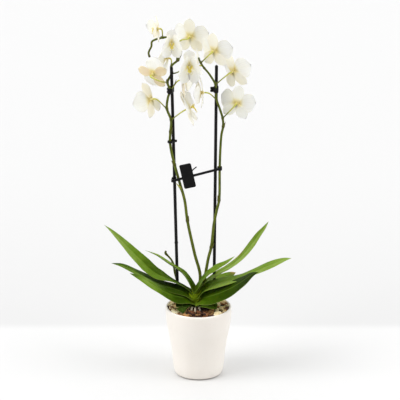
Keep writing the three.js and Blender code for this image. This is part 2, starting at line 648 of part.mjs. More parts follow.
// ---- Assembly ----
const COLOURS = {
  ceramic: { color: 0xf2ece6, roughness: 0.32 },
  bark: { color: 0xb08a62, roughness: 0.95 },
  crown: { color: 0x7d8a35, roughness: 0.6 },
  root: { color: 0xc9c4ac, roughness: 0.8 },
  leaf: { color: 0x3c6a1d, roughness: 0.45 },
  stem: { color: 0x56681f, roughness: 0.55 },
  plastic: { color: 0x14140f, roughness: 0.5 },
  petal: { color: 0xfaf7ec, roughness: 0.6 },
  lip: { color: 0xe6cf66, roughness: 0.6 },
};

const orchid = new THREE.Group();

function add(name, made, finish) {
  const material = new THREE.MeshStandardMaterial({ ...COLOURS[finish], metalness: 0, flatShading: true });
  const mesh = new THREE.Mesh(geometryOf(made), material);
  mesh.name = name;
  orchid.add(mesh);
  return made;
}

const grownStakes = Object.values(STAKES).map((row) => stake(row, GAP));
const grownStems = Object.values(SPIKES).map((row) => spikeStem(row, GAP));
const grownRoots = Object.values(ROOTS).map((points) => root(points, GAP));
const grownCrown = crown(GAP);

add("pot", pot(), "ceramic");

const grownLeaves = Object.values(LEAVES).map((row) => leaf(row, GAP));
const planted = [grownCrown, ...grownStakes, ...grownStems, ...grownRoots];
add("bark", bark([...planted, ...LOW_LEAVES.map((name) => leaf(LEAVES[name], GAP))]), "bark");
add("crown", whole(cut(crown(), [...grownStems, ...grownRoots])), "crown");
for (const [name, points] of Object.entries(ROOTS)) add(name, root(points), "root");
for (const [name, row] of Object.entries(STAKES)) add(name, stake(row), "plastic");

const around = [...planted];
for (const [i, [name, row]] of Object.entries(LEAVES).entries()) {
  add(name, whole(cut(leaf(row), around)), "leaf");
  around.push(grownLeaves[i]);
}
add("old_spike", whole(cut(oldSpike(), around)), "stem");

for (const name of Object.keys(SPIKES)) add(name, whole(spike(name)), "stem");
const held = [...grownStakes, ...Object.keys(SPIKES).map((name) => spike(name, GAP))];
for (const [name, row] of Object.entries(CLIPS)) add(name, clip(row, held), "plastic");
add("tie_bar", tieBar(held), "plastic");
add("tag", tag(), "plastic");

for (const [name, bloom] of Object.entries(BLOOMS)) {
  add(name + "_tepals", tepals(bloom), "petal");
  add(name + "_lip", lip(bloom), "lip");
}

export default orchid;
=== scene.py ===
import bpy
import numpy as np
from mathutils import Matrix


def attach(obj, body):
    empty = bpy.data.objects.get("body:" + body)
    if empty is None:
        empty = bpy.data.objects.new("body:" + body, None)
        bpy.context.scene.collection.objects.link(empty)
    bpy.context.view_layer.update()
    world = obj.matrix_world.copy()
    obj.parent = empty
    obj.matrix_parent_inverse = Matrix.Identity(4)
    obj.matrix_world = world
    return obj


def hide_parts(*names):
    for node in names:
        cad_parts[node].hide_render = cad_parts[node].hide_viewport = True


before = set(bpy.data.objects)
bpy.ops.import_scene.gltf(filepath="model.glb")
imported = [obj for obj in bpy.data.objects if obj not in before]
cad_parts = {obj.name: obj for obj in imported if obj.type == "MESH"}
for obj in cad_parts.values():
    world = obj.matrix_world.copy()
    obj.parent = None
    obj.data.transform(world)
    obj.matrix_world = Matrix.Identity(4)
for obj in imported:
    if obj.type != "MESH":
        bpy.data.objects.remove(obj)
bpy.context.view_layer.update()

# ---- Pot ----
# A slip-cast tapered cup of white stoneware with a satin glaze and a thin rounded lip. Its flat foot is
# left bare and is set in a little, so that a dark line shows under it.
MM = 0.001  # sizes and places are in millimetres
POT_PROFILE = [  # radius and height, up the outside, over the lip and down the inside
    (1, 0), (37, 0), (37.4, 0.3), (37.8, 1.5), (40.8, 1.7), (42.6, 2.5), (43.8, 5), (44.8, 9), (46.4, 18),
    (49.4, 48), (54.2, 77), (57.9, 96), (59.6, 114), (60, 126), (59.6, 128.8), (58.4, 130), (57.2, 130),
    (56, 128.6), (55.6, 120), (53.9, 96), (45.4, 48), (42.4, 18), (40.6, 8), (36, 7), (1, 7),
]


def smooth_line(points, count):
    """A curve through all the points, count stations at even distances along it. Between two points it
    is a cubic whose end slopes come from the neighbours, weighted by the root of the distances."""
    p = np.asarray(points, float)
    p = np.concatenate([[2 * p[0] - p[1]], p, [2 * p[-1] - p[-2]]])
    gap = np.sqrt(np.linalg.norm(np.diff(p, axis=0), axis=1))[:, None]
    before, here, after = gap[:-2], gap[1:-1], gap[2:]
    a, b, c, d = p[:-3], p[1:-2], p[2:-1], p[3:]
    leave = ((b - a) / before - (c - a) / (before + here) + (c - b) / here) * here
    reach = ((c - b) / here - (d - b) / (here + after) + (d - c) / after) * here
    u = np.linspace(0, 1, 40, endpoint=False)[:, None, None]
    curve = (b + u * leave + u**2 * (3 * (c - b) - 2 * leave - reach)
             + u**3 * (2 * (b - c) + leave + reach))
    curve = np.concatenate([curve.transpose(1, 0, 2).reshape(-1, p.shape[1]), p[-2:-1]])
    run = np.concatenate([[0], np.cumsum(np.linalg.norm(np.diff(curve, axis=0), axis=1))])
    even = np.linspace(0, run[-1], count)
    return np.stack([np.interp(even, run, column) for column in curve.T], 1)


def turned(profile, sides):
    """A body of revolution: each (radius, height) of the profile becomes a circle about +Z."""
    angle = np.linspace(0, 2 * np.pi, sides, endpoint=False)
    radius, height = np.asarray(profile, float).T[:, :, None]
    return np.stack([radius * np.cos(angle), radius * np.sin(angle), height + 0 * angle], 2)


def skin(rings, place=None, tone=0.0, looped=False):
    """The closed skin of a solid. rings[i, j] is point j of loop i; neighbouring loops are joined by
    four-sided faces, and the first and last are closed by fans to their middles, or joined when looped.
    Faces are turned over when the volume that they enclose comes out negative."""
    rows, count = rings.shape[:2]
    place = np.zeros_like(rings) if place is None else place
    here = np.arange(rows * count).reshape(rows, count)
    above = np.roll(here, -1, 0) if looped else here[1:]
    below = here if looped else here[:-1]
    quads = np.stack([below, np.roll(below, -1, 1), np.roll(above, -1, 1), above], -1).reshape(-1, 4)
    points, marks = rings.reshape(-1, 3), place.reshape(-1, 3)
    fans = np.zeros((0, 3), int)
    if not looped:
        first, last = rows * count, rows * count + 1
        points = np.concatenate([points, rings[[0, -1]].mean(1)])
        marks = np.concatenate([marks, place[[0, -1]].mean(1)])
        start, end = here[0], here[-1]
        fans = np.concatenate([
            np.stack([np.full(count, first), np.roll(start, -1), start], 1),
            np.stack([np.full(count, last), end, np.roll(end, -1)], 1),
        ])
    a, b, c = points[np.concatenate([quads[:, :3], quads[:, [0, 2, 3]], fans])].transpose(1, 0, 2)
    if np.einsum("ij,ij->", a - points.mean(0), np.cross(b - a, c - a)) < 0:
        quads, fans = quads[:, ::-1], fans[:, ::-1]
    return {"points": points, "place": marks, "tone": np.full(len(points), tone),
            "quads": quads, "fans": fans}


def make_piece(name, skins, finish, slot, *nodes, flat=False):
    """Joins skins into one mesh in metres, gives it its finish and puts it in place of its CAD nodes."""
    first = np.cumsum([0] + [len(one["points"]) for one in skins])
    gather = lambda key: np.concatenate([one[key] for one in skins])
    corners = lambda key: np.concatenate([one[key] + at for one, at in zip(skins, first)])
    quads, fans = corners("quads"), corners("fans")
    sizes = np.repeat([4, 3], [len(quads), len(fans)])
    mesh = bpy.data.meshes.new(name)
    mesh.vertices.add(first[-1])
    mesh.vertices.foreach_set("co", (gather("points") * MM).ravel())
    mesh.loops.add(sizes.sum())
    mesh.loops.foreach_set("vertex_index", np.concatenate([quads.ravel(), fans.ravel()]))
    mesh.polygons.add(len(sizes))
    mesh.polygons.foreach_set("loop_start", np.cumsum(sizes) - sizes)
    mesh.polygons.foreach_set("use_smooth", np.full(len(sizes), not flat))
    place = mesh.attributes.new("place", "FLOAT_VECTOR", "POINT")
    place.data.foreach_set("vector", gather("place").ravel())
    mesh.attributes.new("tone", "FLOAT", "POINT").data.foreach_set("value", gather("tone"))
    mesh.update(calc_edges=True)
    mesh.validate()
    mesh.materials.append(finish.material)
    piece = bpy.data.objects.new(name, mesh)
    bpy.context.scene.collection.objects.link(piece)
    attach(piece, "root")
    if nodes:
        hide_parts(*nodes)


def paint(red, green, blue):
    """A colour as a paint card gives it, from 0 to 255, made linear."""
    shares = np.array([red, green, blue]) / 255
    return (*np.where(shares < 0.04045, shares / 12.92, ((shares + 0.055) / 1.055) ** 2.4), 1.0)


class Value:
    """One shader value. Sums written on it add Math nodes."""

    def __init__(self, finish, link):
        self.finish, self.link = finish, link

    def math(self, operation, *values):
        return self.finish.node("Math", {"operation": operation}, dict(enumerate(values)))

    def __add__(self, other):
        return self.math("ADD", self, other)

    def __sub__(self, other):
        return self.math("SUBTRACT", self, other)

    def __rsub__(self, other):
        return self.math("SUBTRACT", other, self)

    def __mul__(self, other):
        return self.math("MULTIPLY", self, other)

    def __abs__(self):
        return self.math("ABSOLUTE", self)

    __radd__, __rmul__ = __add__, __mul__


class Finish:
    """A material: a Principled shader whose even values are set by name, and the nodes that feed it."""

    def __init__(self, name, **even):
        self.material = bpy.data.materials.new(name)
        self.material.use_nodes = True
        self.tree = self.material.node_tree
        self.shader = self.tree.nodes["Principled BSDF"]
        for socket, value in even.items():
            self.shader.inputs[socket.replace("_", " ")].default_value = value

    def node(self, kind, settings=None, sockets=None, output=0):
        """Adds one node: its type, its settings, the values or links of its sockets, the output used."""
        made = self.tree.nodes.new("ShaderNode" + kind)
        for key, value in (settings or {}).items():
            if key == "stops":
                ramp = made.color_ramp.elements
                for _ in value[2:]:
                    ramp.new(1)
                for stop, (position, colour) in zip(ramp, value):
                    stop.position, stop.color = position, colour
            else:
                setattr(made, key, value)
        for key, value in (sockets or {}).items():
            self.feed(made.inputs[key], value)
        return Value(self, made.outputs[output])

    def feed(self, socket, value):
        if isinstance(value, Value):
            self.tree.links.new(value.link, socket)
        else:
            socket.default_value = value

    def wear(self, colour=None, roughness=None, relief=None, depth=0.1):
        """Feeds what varies over the surface: colour, roughness, and a relief that is depth mm deep."""
        if colour is not None:
            self.feed(self.shader.inputs["Base Color"], colour)
        if roughness is not None:
            self.feed(self.shader.inputs["Roughness"], roughness)
        if relief is not None:
            bump = self.node("Bump", {}, {"Strength": 1.0, "Distance": depth * MM, "Height": relief})
            self.feed(self.shader.inputs["Normal"], bump)

    def here(self, stretch=(1, 1, 1)):
        """The point of the surface in metres, stretched."""
        return self.node("Mapping", {}, {"Vector": self.node("TexCoord", output="Object"), "Scale": stretch})

    def place(self, stretch=(1, 1, 1)):
        """The piece's own directions, stretched: along, across, and which side."""
        mark = self.node("Attribute", {"attribute_name": "place"}, output="Vector")
        return self.node("Mapping", {}, {"Vector": mark, "Scale": stretch})

    def part(self, vector, axis):
        return self.node("SeparateXYZ", {}, {0: vector}, axis)

    def tone(self):
        return self.node("Attribute", {"attribute_name": "tone"}, output="Fac")

    def noise(self, vector, scale, detail=3.0, roughness=0.5):
        return self.node("TexNoise", {}, {"Vector": vector, "Scale": scale, "Detail": detail,
                                          "Roughness": roughness})

    def step(self, value, low, high):
        """0 below low, 1 above high, and a soft step between."""
        return self.node("MapRange", {"interpolation_type": "SMOOTHSTEP"}, {0: value, 1: low, 2: high})

    def mix(self, share, first, second):
        return self.node("Mix", {"data_type": "RGBA"}, {0: share, 6: first, 7: second}, 2)

    def ramp(self, value, *stops):
        return self.node("ValToRGB", {"stops": stops}, {0: value})


glaze = Finish("satin white glaze", IOR=1.5, Coat_Weight=0.25, Coat_Roughness=0.22)
at = glaze.here()
cloud = glaze.noise(at, 22, 2)
grain = glaze.noise(at, 1900, 3)
speck = glaze.step(glaze.noise(at, 900, 0), 0.79, 0.83)
bare_foot = 1 - glaze.step(glaze.part(at, 2), 0.0003, 0.0014)
glazed = glaze.ramp(cloud, (0.3, paint(248, 241, 232)), (0.7, paint(250, 244, 236)))
glazed = glaze.mix(speck * 0.35, glazed, paint(202, 190, 172))
glaze.wear(glaze.mix(bare_foot, glazed, paint(222, 209, 188)),
           0.36 + cloud * 0.1 + bare_foot * 0.4, grain, 0.03)

pot_profile = np.maximum(smooth_line(POT_PROFILE, 190), 0)
make_piece("glazed_pot", [skin(turned(pot_profile, 128))], glaze, "ceramic", "pot")

# ---- Bark ----
# The pot is filled to the rim with chips of pine bark, split along the grain, pale where they are
# fresh and red-brown where they are weathered. Finer crumbs fill the gaps between and below them.
HEAP_RIM, HEAP_RISE, HEAP_RADIUS = 122, 6, 55
CHIPS, AT_WALL = 215, 50
CRUMB_BANK, CHIP_BANK = 4.2, 3.9  # how far crumbs and chips are heaped up at the wall
EVEN_TURN = 2.39996  # from one chip to the next, in radians, which fills a disc evenly
chance = np.random.default_rng(11)


def heap(radius):
    """The height of the heap: level at the wall, and a low dome over it."""
    return HEAP_RIM + HEAP_RISE * (1 - (radius / HEAP_RADIUS) ** 2)


def ripple(x, y, size, seed):
    """A smooth uneven height from -1 to 1: the mean of six slanted sine waves of about one size."""
    dice = np.random.default_rng(seed)
    turn, phase = dice.uniform(0, 2 * np.pi, (2, 6, 1, 1))
    pace = dice.uniform(0.7, 1.6, (6, 1, 1))
    return np.sin(2 * np.pi * pace / size * (x * np.cos(turn) + y * np.sin(turn)) + phase).mean(0)


crumbs = Finish("bark crumbs", Roughness=0.95)
at = crumbs.here()
crumb = crumbs.noise(at, 420, 4, 0.7)
# Painted shade: the crumbs are made very dark, partly their own brown and partly the shade of the deep gaps
# between the chips.
crumbs.wear(crumbs.ramp(crumb, (0.3, paint(18, 9, 5)), (0.55, paint(46, 24, 13)), (0.8, paint(92, 58, 32))),
            relief=crumb, depth=1.5)

wall = smooth_line([(1, 7.4), (36, 7.4), (41.4, 18), (44.4, 48), (52.9, 96), (55, 121)], 60)
dome = np.stack([np.linspace(54.8, 1, 60), heap(np.linspace(54.8, 1, 60)) - 1.2], 1)
bed = turned(np.concatenate([wall, dome]), 150)
x, y, height = bed[60:].transpose(2, 0, 1)
height += 1.3 * ripple(x, y, 7, 3) + CRUMB_BANK * np.clip((np.hypot(x, y) - 42) / 10, 0, 1)
make_piece("bark_crumbs", [skin(bed)], crumbs, "bark", "bark")

bark = Finish("pine bark", Roughness=0.9)
along_grain = bark.noise(bark.place((0.12, 1, 1)), 1.4, 4, 0.6)
layer = bark.noise(bark.place((0.02, 0.15, 1.6)), 1.2, 2)
patch = bark.noise(bark.here(), 260, 3)
shade = bark.tone() + (along_grain - 0.5) * 0.5 + (patch - 0.5) * 0.35
# The chips' colour runs from weathered red-brown to fresh cream; its tone also carries painted shade at the
# front middle.
weathered_and_shaded = bark.ramp(
    shade, (0.05, paint(48, 22, 12)), (0.28, paint(120, 70, 36)), (0.5, paint(196, 146, 86)),
    (0.7, paint(244, 212, 150)), (0.95, paint(253, 240, 200)))
bark.wear(weathered_and_shaded, 0.82 + patch * 0.15, along_grain + layer, 0.9)

order = np.arange(CHIPS)
by_wall = order >= CHIPS - AT_WALL
turn = order * EVEN_TURN + chance.uniform(-0.25, 0.25, CHIPS)
length = np.where(by_wall, chance.uniform(9, 15, CHIPS), chance.uniform(8.5, 17, CHIPS))
radius = (HEAP_RADIUS - 0.5 - length * 0.42) * np.sqrt(np.minimum((order + 0.5) / (CHIPS - AT_WALL), 1))
radius = np.where(by_wall, chance.uniform(50.6, 53, CHIPS), radius)
middle = np.stack([radius * np.cos(turn), radius * np.sin(turn),
                   heap(radius) + chance.uniform(-0.8, 3, CHIPS) + CHIP_BANK * by_wall], 1)
station = np.array([-1, -0.86, 0.05, 0.84, 1])
girth = np.array([0.5, 0.92, 1, 0.9, 0.45])
corner = np.radians([25, 80, 152, 205, 258, 335])
uneven = chance.uniform(0.72, 1.12, (CHIPS, 5, 6))
chips = np.stack([
    np.broadcast_to(station[:, None], (CHIPS, 5, 6)) * length[:, None, None] / 2
    + chance.uniform(-0.5, 0.5, (CHIPS, 5, 6)),
    np.cos(corner) * girth[:, None] * uneven * chance.uniform(2.8, 5, (CHIPS, 1, 1)),
    np.sin(corner) * girth[:, None] * uneven * chance.uniform(1.3, 2.6, (CHIPS, 1, 1)),
], -1)
roll, pitch = chance.uniform(-0.6, 0.6, (2, CHIPS))
spin = chance.uniform(0, 6.28, CHIPS)
pitch = np.where(by_wall, pitch / 2, pitch)
spin = np.where(by_wall, turn + np.pi / 2 + (spin - 3.14) * 0.12, spin)


def turns(angle, axis):
    """A stack of rotations by these angles about one axis."""
    first, second = (axis + 1) % 3, (axis + 2) % 3
    made = np.zeros((len(angle), 3, 3))
    made[:, axis, axis] = 1
    made[:, first, first] = made[:, second, second] = np.cos(angle)
    made[:, second, first], made[:, first, second] = np.sin(angle), -np.sin(angle)
    return made


laid = np.einsum("kab,kmnb->kmna", turns(spin, 2) @ turns(pitch, 1) @ turns(roll, 0), chips)
laid += middle[:, None, None]
fresh_and_shade = np.where(chance.random(CHIPS) < 0.68,
                 chance.normal(0.86, 0.1, CHIPS), chance.normal(0.3, 0.12, CHIPS))
# Painted shade: the chips at the front middle are made darker, for the shade under the leaf bases.
fresh_and_shade -= 0.6 * np.exp(-((middle[:, 0] / 26) ** 4)) * (middle[:, 1] < 0)
fresh_and_shade = np.clip(fresh_and_shade, 0.02, 1)
chip_skins = [skin(laid[i], chips[i] + 9 * i, fresh_and_shade[i]) for i in range(CHIPS)]
make_piece("bark_chips", chip_skins, bark, "bark", "bark", flat=True)

# ---- Crown and roots ----
# The short stem that everything grows from, wrapped in the dry sheaths of old leaves. Three aerial
# roots, silvery where dry and darker brown below the top of the bark, arch from it into the bark.
CROWN_X = -6
CROWN_PROFILE = [(1, 104), (6.3, 104), (10.5, 114), (10.4, 124), (9.4, 136), (7.8, 148), (5.6, 156), (1, 159)]
ROOTS = {
    "root_1": [(-9, -6, 131), (-11, -14, 134), (-13, -22, 130), (-14, -26, 116)],
    "root_2": [(-6, -6, 128), (-6, -15, 132), (-6, -24, 129), (-6, -28, 114)],
    "root_3": [(-2, -6, 131), (0, -14, 134), (2, -21, 131), (4, -25, 116)],
}


def directions(path):
    """Along a path: its tangents, and two directions square to them. The first of the two stays near the
    axis that the whole path turns about, which its tangents come nearest to least."""
    tangent = np.gradient(path, axis=0)
    tangent /= np.linalg.norm(tangent, axis=1)[:, None]
    axis = np.linalg.svd(tangent)[2][2]
    side = axis - tangent * (tangent @ axis)[:, None]
    side /= np.linalg.norm(side, axis=1)[:, None]
    return tangent, side, np.cross(tangent, side)


def tube(path, radius, sides=14, mark=0.0):
    """A round rod along a path: at each station a circle of that station's radius, square to the path."""
    _, side, over = directions(path)
    angle = np.linspace(0, 2 * np.pi, sides, endpoint=False)[:, None]
    radius = np.broadcast_to(radius, len(path))[:, None, None]
    rings = path[:, None] + radius * (np.cos(angle) * side[:, None] + np.sin(angle) * over[:, None])
    s = np.broadcast_to(np.linspace(0, 1, len(path))[:, None], rings.shape[:2])
    mark = np.broadcast_to(np.asarray(mark, float).reshape(-1, 1), rings.shape[:2])
    return rings, np.stack([s, np.broadcast_to(angle.T / 6.2832, s.shape), mark], 2)


def rounded(s, ends):
    """The share of its full radius that a rod with round ends has at s, each end taking the share ends."""
    near = np.clip(np.minimum(s, 1 - s) / ends, 0, 1)
    return np.sqrt(1 - (1 - near) ** 2) * 0.97 + 0.03


sheath = Finish("dry leaf sheaths", IOR=1.15, Roughness=0.75)
at = sheath.here()
fibre = sheath.noise(sheath.here((1, 1, 0.12)), 900, 4)
height = sheath.step(sheath.part(at, 2), 0.126, 0.15)
sheath.wear(sheath.mix(height, sheath.ramp(fibre, (0.35, paint(38, 26, 12)), (0.65, paint(92, 78, 30))),
                       sheath.ramp(fibre, (0.35, paint(84, 112, 8)), (0.65, paint(144, 164, 28)))),
            relief=fibre, depth=0.5)
crown = turned(smooth_line(CROWN_PROFILE, 70), 60)
angle = np.arctan2(crown[..., 1], crown[..., 0])
fold = 1 + 0.05 * np.abs(np.sin(1.5 * angle + crown[..., 2] / 7)) - 0.03
crown[..., :2] *= fold[..., None]
crown += (CROWN_X, 1, 0)


def unit(vectors):
    return vectors / np.linalg.norm(vectors, axis=-1)[..., None]


def edge_to_edge(count):
    """Stations across a sheet from -1 to 1, closer together towards both edges: the sine of even steps."""
    return np.sin(np.linspace(-np.pi / 2, np.pi / 2, count))[None]


def two_faced(middle, s, t, upper, lower):
    """A thin closed sheet about a middle surface: its upper face lies upper off it along the normal, its
    lower face lower off it on the other side, and the two meet where both are nothing."""
    normal = unit(np.cross(np.gradient(middle, axis=0), np.gradient(middle, axis=1)))
    top, under = middle + normal * upper[..., None], middle - normal * lower[..., None]
    marks = [np.stack(np.broadcast_arrays(s, t, side), 2) for side in (1.0, -1.0)]
    back = slice(-2, 0, -1)
    return (np.concatenate([top, under[:, back]], 1), np.concatenate([marks[0], marks[1][:, back]], 1))


def wrapped(side, bottom, top, inner, flare):
    """A leaf base wrapped round the crown from one side. At s up it and t round it, from -1 to 1, it is a
    part of a cone that opens towards its top; its two edges fall away from the top as t squared."""
    s = np.linspace(0, 1, 22)[:, None]
    t = edge_to_edge(31)
    angle = np.where(side > 0, 0, np.pi) + t * (2.35 - 0.5 * s)
    radius = inner + flare * s**2 * (1 - 0.6 * t**2)
    height = bottom + (top - bottom) * s * (1 - 0.42 * t**2)
    middle = np.stack([CROWN_X + radius * np.cos(angle), 1 + radius * np.sin(angle), height + 0 * angle], 2)
    thick = 0.55 * np.sqrt(1 - np.abs(t) ** 5) * (1 - 0.5 * s)
    return skin(*two_faced(middle, s, t, thick, thick))


sheaths = [wrapped(side, bottom, top, inner, flare) for side, bottom, top, inner, flare in (
    (1, 108, 140, 10.9, 1.6), (-1, 112, 145, 10.3, 2.0), (1, 118, 150, 9.7, 2.4), (-1, 124, 155, 9.0, 2.6),
    (1, 130, 159, 8.2, 2.8))]
make_piece("crown_sheaths", [skin(crown), *sheaths], sheath, "crown", "crown")

velamen = Finish("root skin", Roughness=0.7)
at = velamen.here()
mottle = velamen.noise(at, 700, 4)
bury = velamen.step(velamen.part(at, 2), 0.124, 0.131)
velamen.wear(velamen.mix(bury, paint(150, 120, 84), velamen.ramp(
    mottle, (0.35, paint(176, 168, 130)), (0.6, paint(226, 214, 192)))), relief=mottle, depth=0.35)
for name, points in ROOTS.items():
    s = np.linspace(0, 1, 46)
    thick = (1.9 - 0.2 * s) * rounded(s, 0.05) * (1 + 0.05 * np.sin(31 * s + 4))
    make_piece("aerial_" + name, [skin(*tube(smooth_line(points, 46), thick, 16))], velamen, "root", name)

# ---- Leaves ----
# Eleven strap leaves in two ranks. Each is thick and leathery, with a channel along its middle, a keel
# below it and a margin that thins out; its base clasps the crown. Veins run from end to end.
# Each leaf's light list gives how light its green is at even distances along it: partly its own tone and
# partly painted light and shade, as on the dark, shaded low leaves; the last value darkens its far half, as
# painted shade.
LEAVES = {
    "leaf_left_1": dict(
        midrib=[(-11, 0, 150), (-22, 1, 163), (-36, 2, 172), (-48, 3, 178), (-79, 8, 190), (-109, 14, 217),
                (-138, 20, 246), (-160, 24, 268), (-171, 26, 277)],
        half_width=17.5, widest=0.36, base=0.34, growth=9, blunt=1.6, fold=6, lean=[-2, 2, 18, 6, 6],
        light=[0.3, 0.46, 0.58, 0.78, 0.84], far_half_shade=0.14),
    "leaf_left_2": dict(
        midrib=[(-11, -1, 144), (-22, -1, 154), (-43, -2, 163), (-70, -4, 173), (-92, -5, 185),
                (-115, -6, 198), (-138, -6, 210), (-158, -6, 215)],
        half_width=15, widest=0.5, base=0.85, growth=2, blunt=1.6, fold=6, lean=[32, 22, 4, 2, 2],
        light=[0.3, 0.14, 0.44, 0.52, 0.36], far_half_shade=0.12),
    "leaf_left_3": dict(
        midrib=[(-11, -5, 137), (-22, -10, 148), (-43, -19, 156), (-61, -26, 167), (-81, -32, 182),
                (-102, -36, 197), (-124, -38, 208)],
        half_width=16.5, widest=0.45, base=0.95, growth=2, blunt=1.6, fold=-4, lean=[34, 28, 16, 10, 8],
        light=[0.24, 0.2, 0.44, 0.7, 0.32], far_half_shade=0.06),
    "leaf_left_4": dict(
        midrib=[(-10, 0, 158), (-14, 1, 169), (-20, 2, 181), (-28, 3, 192), (-39, 4, 201), (-52, 6, 209),
                (-64, 8, 217), (-75, 10, 224), (-98, 14, 233)],
        half_width=11, widest=0.3, base=0.9, growth=2, blunt=1.1, fold=16, lean=[20, 0, -14, -14, -14],
        light=[0.3, 0.45, 0.7, 0.85, 0.85], far_half_shade=0.1),
    "leaf_left_5": dict(
        midrib=[(-10, -6, 133), (-19, -12, 140), (-27, -20, 142), (-30, -29, 138), (-28, -38, 130)],
        half_width=12.5, widest=0.45, base=0.75, growth=2, blunt=1.9, fold=6, lean=[22, 24, 18, 8, 4],
        light=[0.2, 0, -0.25, -0.3, -0.3], far_half_shade=0),
    "leaf_right_1": dict(
        midrib=[(-2, 3, 154), (5, 5, 167), (24, 8, 182), (39, 12, 191), (54, 14, 199), (76, 18, 216),
                (98, 22, 242), (109, 24, 258), (119, 26, 271), (127, 28, 283)],
        half_width=10.5, widest=0.5, base=0.6, growth=2, blunt=2.3, fold=5, lean=[0, 2, 8, 14, 14],
        light=[0.7, 0.86, 0.84, 0.8, 0.78], far_half_shade=0.16),
    "leaf_right_2": dict(
        midrib=[(-1, 0, 146), (6, 0, 156), (17, -2, 167), (35, -4, 175), (68, -6, 184), (97, -6, 196),
                (129, -5, 210), (157, -3, 221), (168, -2, 223)],
        half_width=17, widest=0.4, base=0.85, growth=2, blunt=2.2, fold=4, lean=[28, 10, -4, 4, 14],
        light=[0.4, 0.74, 0.68, 0.72, 0.86], far_half_shade=0.08),
    "leaf_right_3": dict(
        midrib=[(-4, -3, 156), (0, -4, 167), (9, -6, 186), (19, -8, 198), (28, -10, 205), (39, -11, 212),
                (50, -12, 219), (66, -12, 231)],
        half_width=13, widest=0.4, base=0.8, growth=2, blunt=1.1, fold=4, lean=[20, 14, 10, 10, 10],
        light=[0.3, 0.42, 0.54, 0.58, 0.75], far_half_shade=0),
    "leaf_right_4": dict(
        midrib=[(0, -6, 139), (7, -8, 147), (18, -14, 153), (38, -22, 163), (57, -29, 174.5),
                (79, -35, 191), (96, -38, 205), (108, -40, 211)],
        half_width=21.5, widest=0.4, base=0.95, growth=2, blunt=1.45, fold=-4, lean=[34, 32, 26, 20, 16],
        light=[0.38, 0.3, 0.14, 0.06, 0.04], far_half_shade=0),
    "leaf_right_5": dict(
        midrib=[(-1, 6, 146), (6, 10, 155), (21, 17, 164), (39, 24, 172), (54, 29, 177), (68, 33, 182)],
        half_width=11.5, widest=0.6, base=0.7, growth=2, blunt=2.6, fold=8, lean=[8, 8, 8, 8, 8],
        light=[0.7, 0.7, 0.66, 0.62, 0.6], far_half_shade=0),
    "leaf_right_6": dict(
        midrib=[(-3, -7, 132), (2, -12, 139), (11, -19, 143), (23, -28, 142), (33, -36, 138)],
        half_width=13, widest=0.5, base=0.75, growth=2, blunt=2.2, fold=6, lean=[26, 24, 20, 14, 10],
        light=[0.02, 0.1, 0.2, 0.2, 0.2], far_half_shade=0),
}
LEAF_THICKNESS = 1.6
BASE_FOLD, BASE_SHARE = 40, 0.25


def leaf(midrib, half_width, widest, base, growth, blunt, fold, lean, light, far_half_shade):
    """A strap leaf. At s along its midrib and t across, from -1 to 1, it is out by width(s) t, tilted by
    lean, which turns along it, and its halves rise by fold with a soft channel between them: steeply at
    the base, which is folded round the crown. The margins wave a little. Its green is as light as light
    says at even distances along it, partly its own tone and partly painted light and shade, and its far
    half is darker by the far-half shade value, as painted shade."""
    tip = 1 - 0.1 * np.linspace(1, 0, 20) ** 1.6
    s = np.concatenate([np.linspace(0, 0.9, 80, endpoint=False), tip])[:, None]
    t = edge_to_edge(27)
    path = smooth_line(midrib, 400)
    spread = np.linspace(0, 1, 400)
    at = lambda row: np.stack([np.interp(s[:, 0], spread, column) for column in row.T], 1)
    tangent = at(unit(np.gradient(path, axis=0)))
    path = at(path)
    far = np.cross(tangent, (0, 0, 1.0))
    far = unit(far * np.where(far[:, 1:2] < 0, -1, 1))
    face = np.cross(far, tangent)
    face *= np.where(face[:, 2:] < 0, -1, 1)
    beyond = np.clip((s - widest) / (1 - widest), 0, 1)
    outline = np.where(s < widest, base + (1 - base) * np.sin(np.pi / 2 * s / widest) ** growth,
                       np.cos(np.pi / 2 * beyond**blunt))
    reach = half_width * np.maximum(outline, 0.012) * t
    fold = np.radians(fold + (BASE_FOLD - fold) * np.clip(1 - s / BASE_SHARE, 0, 1) ** 1.5)
    lean = np.radians(np.interp(s, np.linspace(0, 1, len(lean)), lean))
    valley = np.sqrt(t**2 + 0.006) - np.sqrt(0.006)
    rise = half_width * outline * valley
    out = reach * np.cos(lean) * np.cos(fold) - rise * np.sin(lean) * np.sin(fold)
    up = reach * np.sin(lean) * np.cos(fold) + rise * np.cos(lean) * np.sin(fold)
    wavy = 0.5 * outline * t**2 * np.sin(2 * np.pi * (2.3 * s + 0.13 * half_width) + 0.8 * np.sign(t))
    channel = -0.5 * np.exp(-((t / 0.1) ** 2)) * outline
    middle = path[:, None] + far[:, None] * out[..., None] + face[:, None] * (up + wavy + channel)[..., None]
    half = LEAF_THICKNESS / 2 * np.sqrt(1 - np.abs(t) ** 5) * np.minimum(1, outline * 2.2) + 0 * s
    keel = 0.7 * np.exp(-((t / 0.13) ** 2)) * outline * (1 - s)
    normal = np.cross(np.gradient(middle, axis=0), np.gradient(middle, axis=1))
    if (normal * face[:, None]).sum() < 0:
        middle, t, half, keel = middle[:, ::-1], t[:, ::-1], half[:, ::-1], keel[:, ::-1]
    made = skin(*two_faced(middle, s, t, half, half + keel))
    s, t, _ = made["place"].T
    # Painted light and shade: the green's lightness along the leaf, less on the far half.
    made["tone"] = np.interp(s, np.linspace(0, 1, len(light)), light) - far_half_shade * (t > 0)
    return made


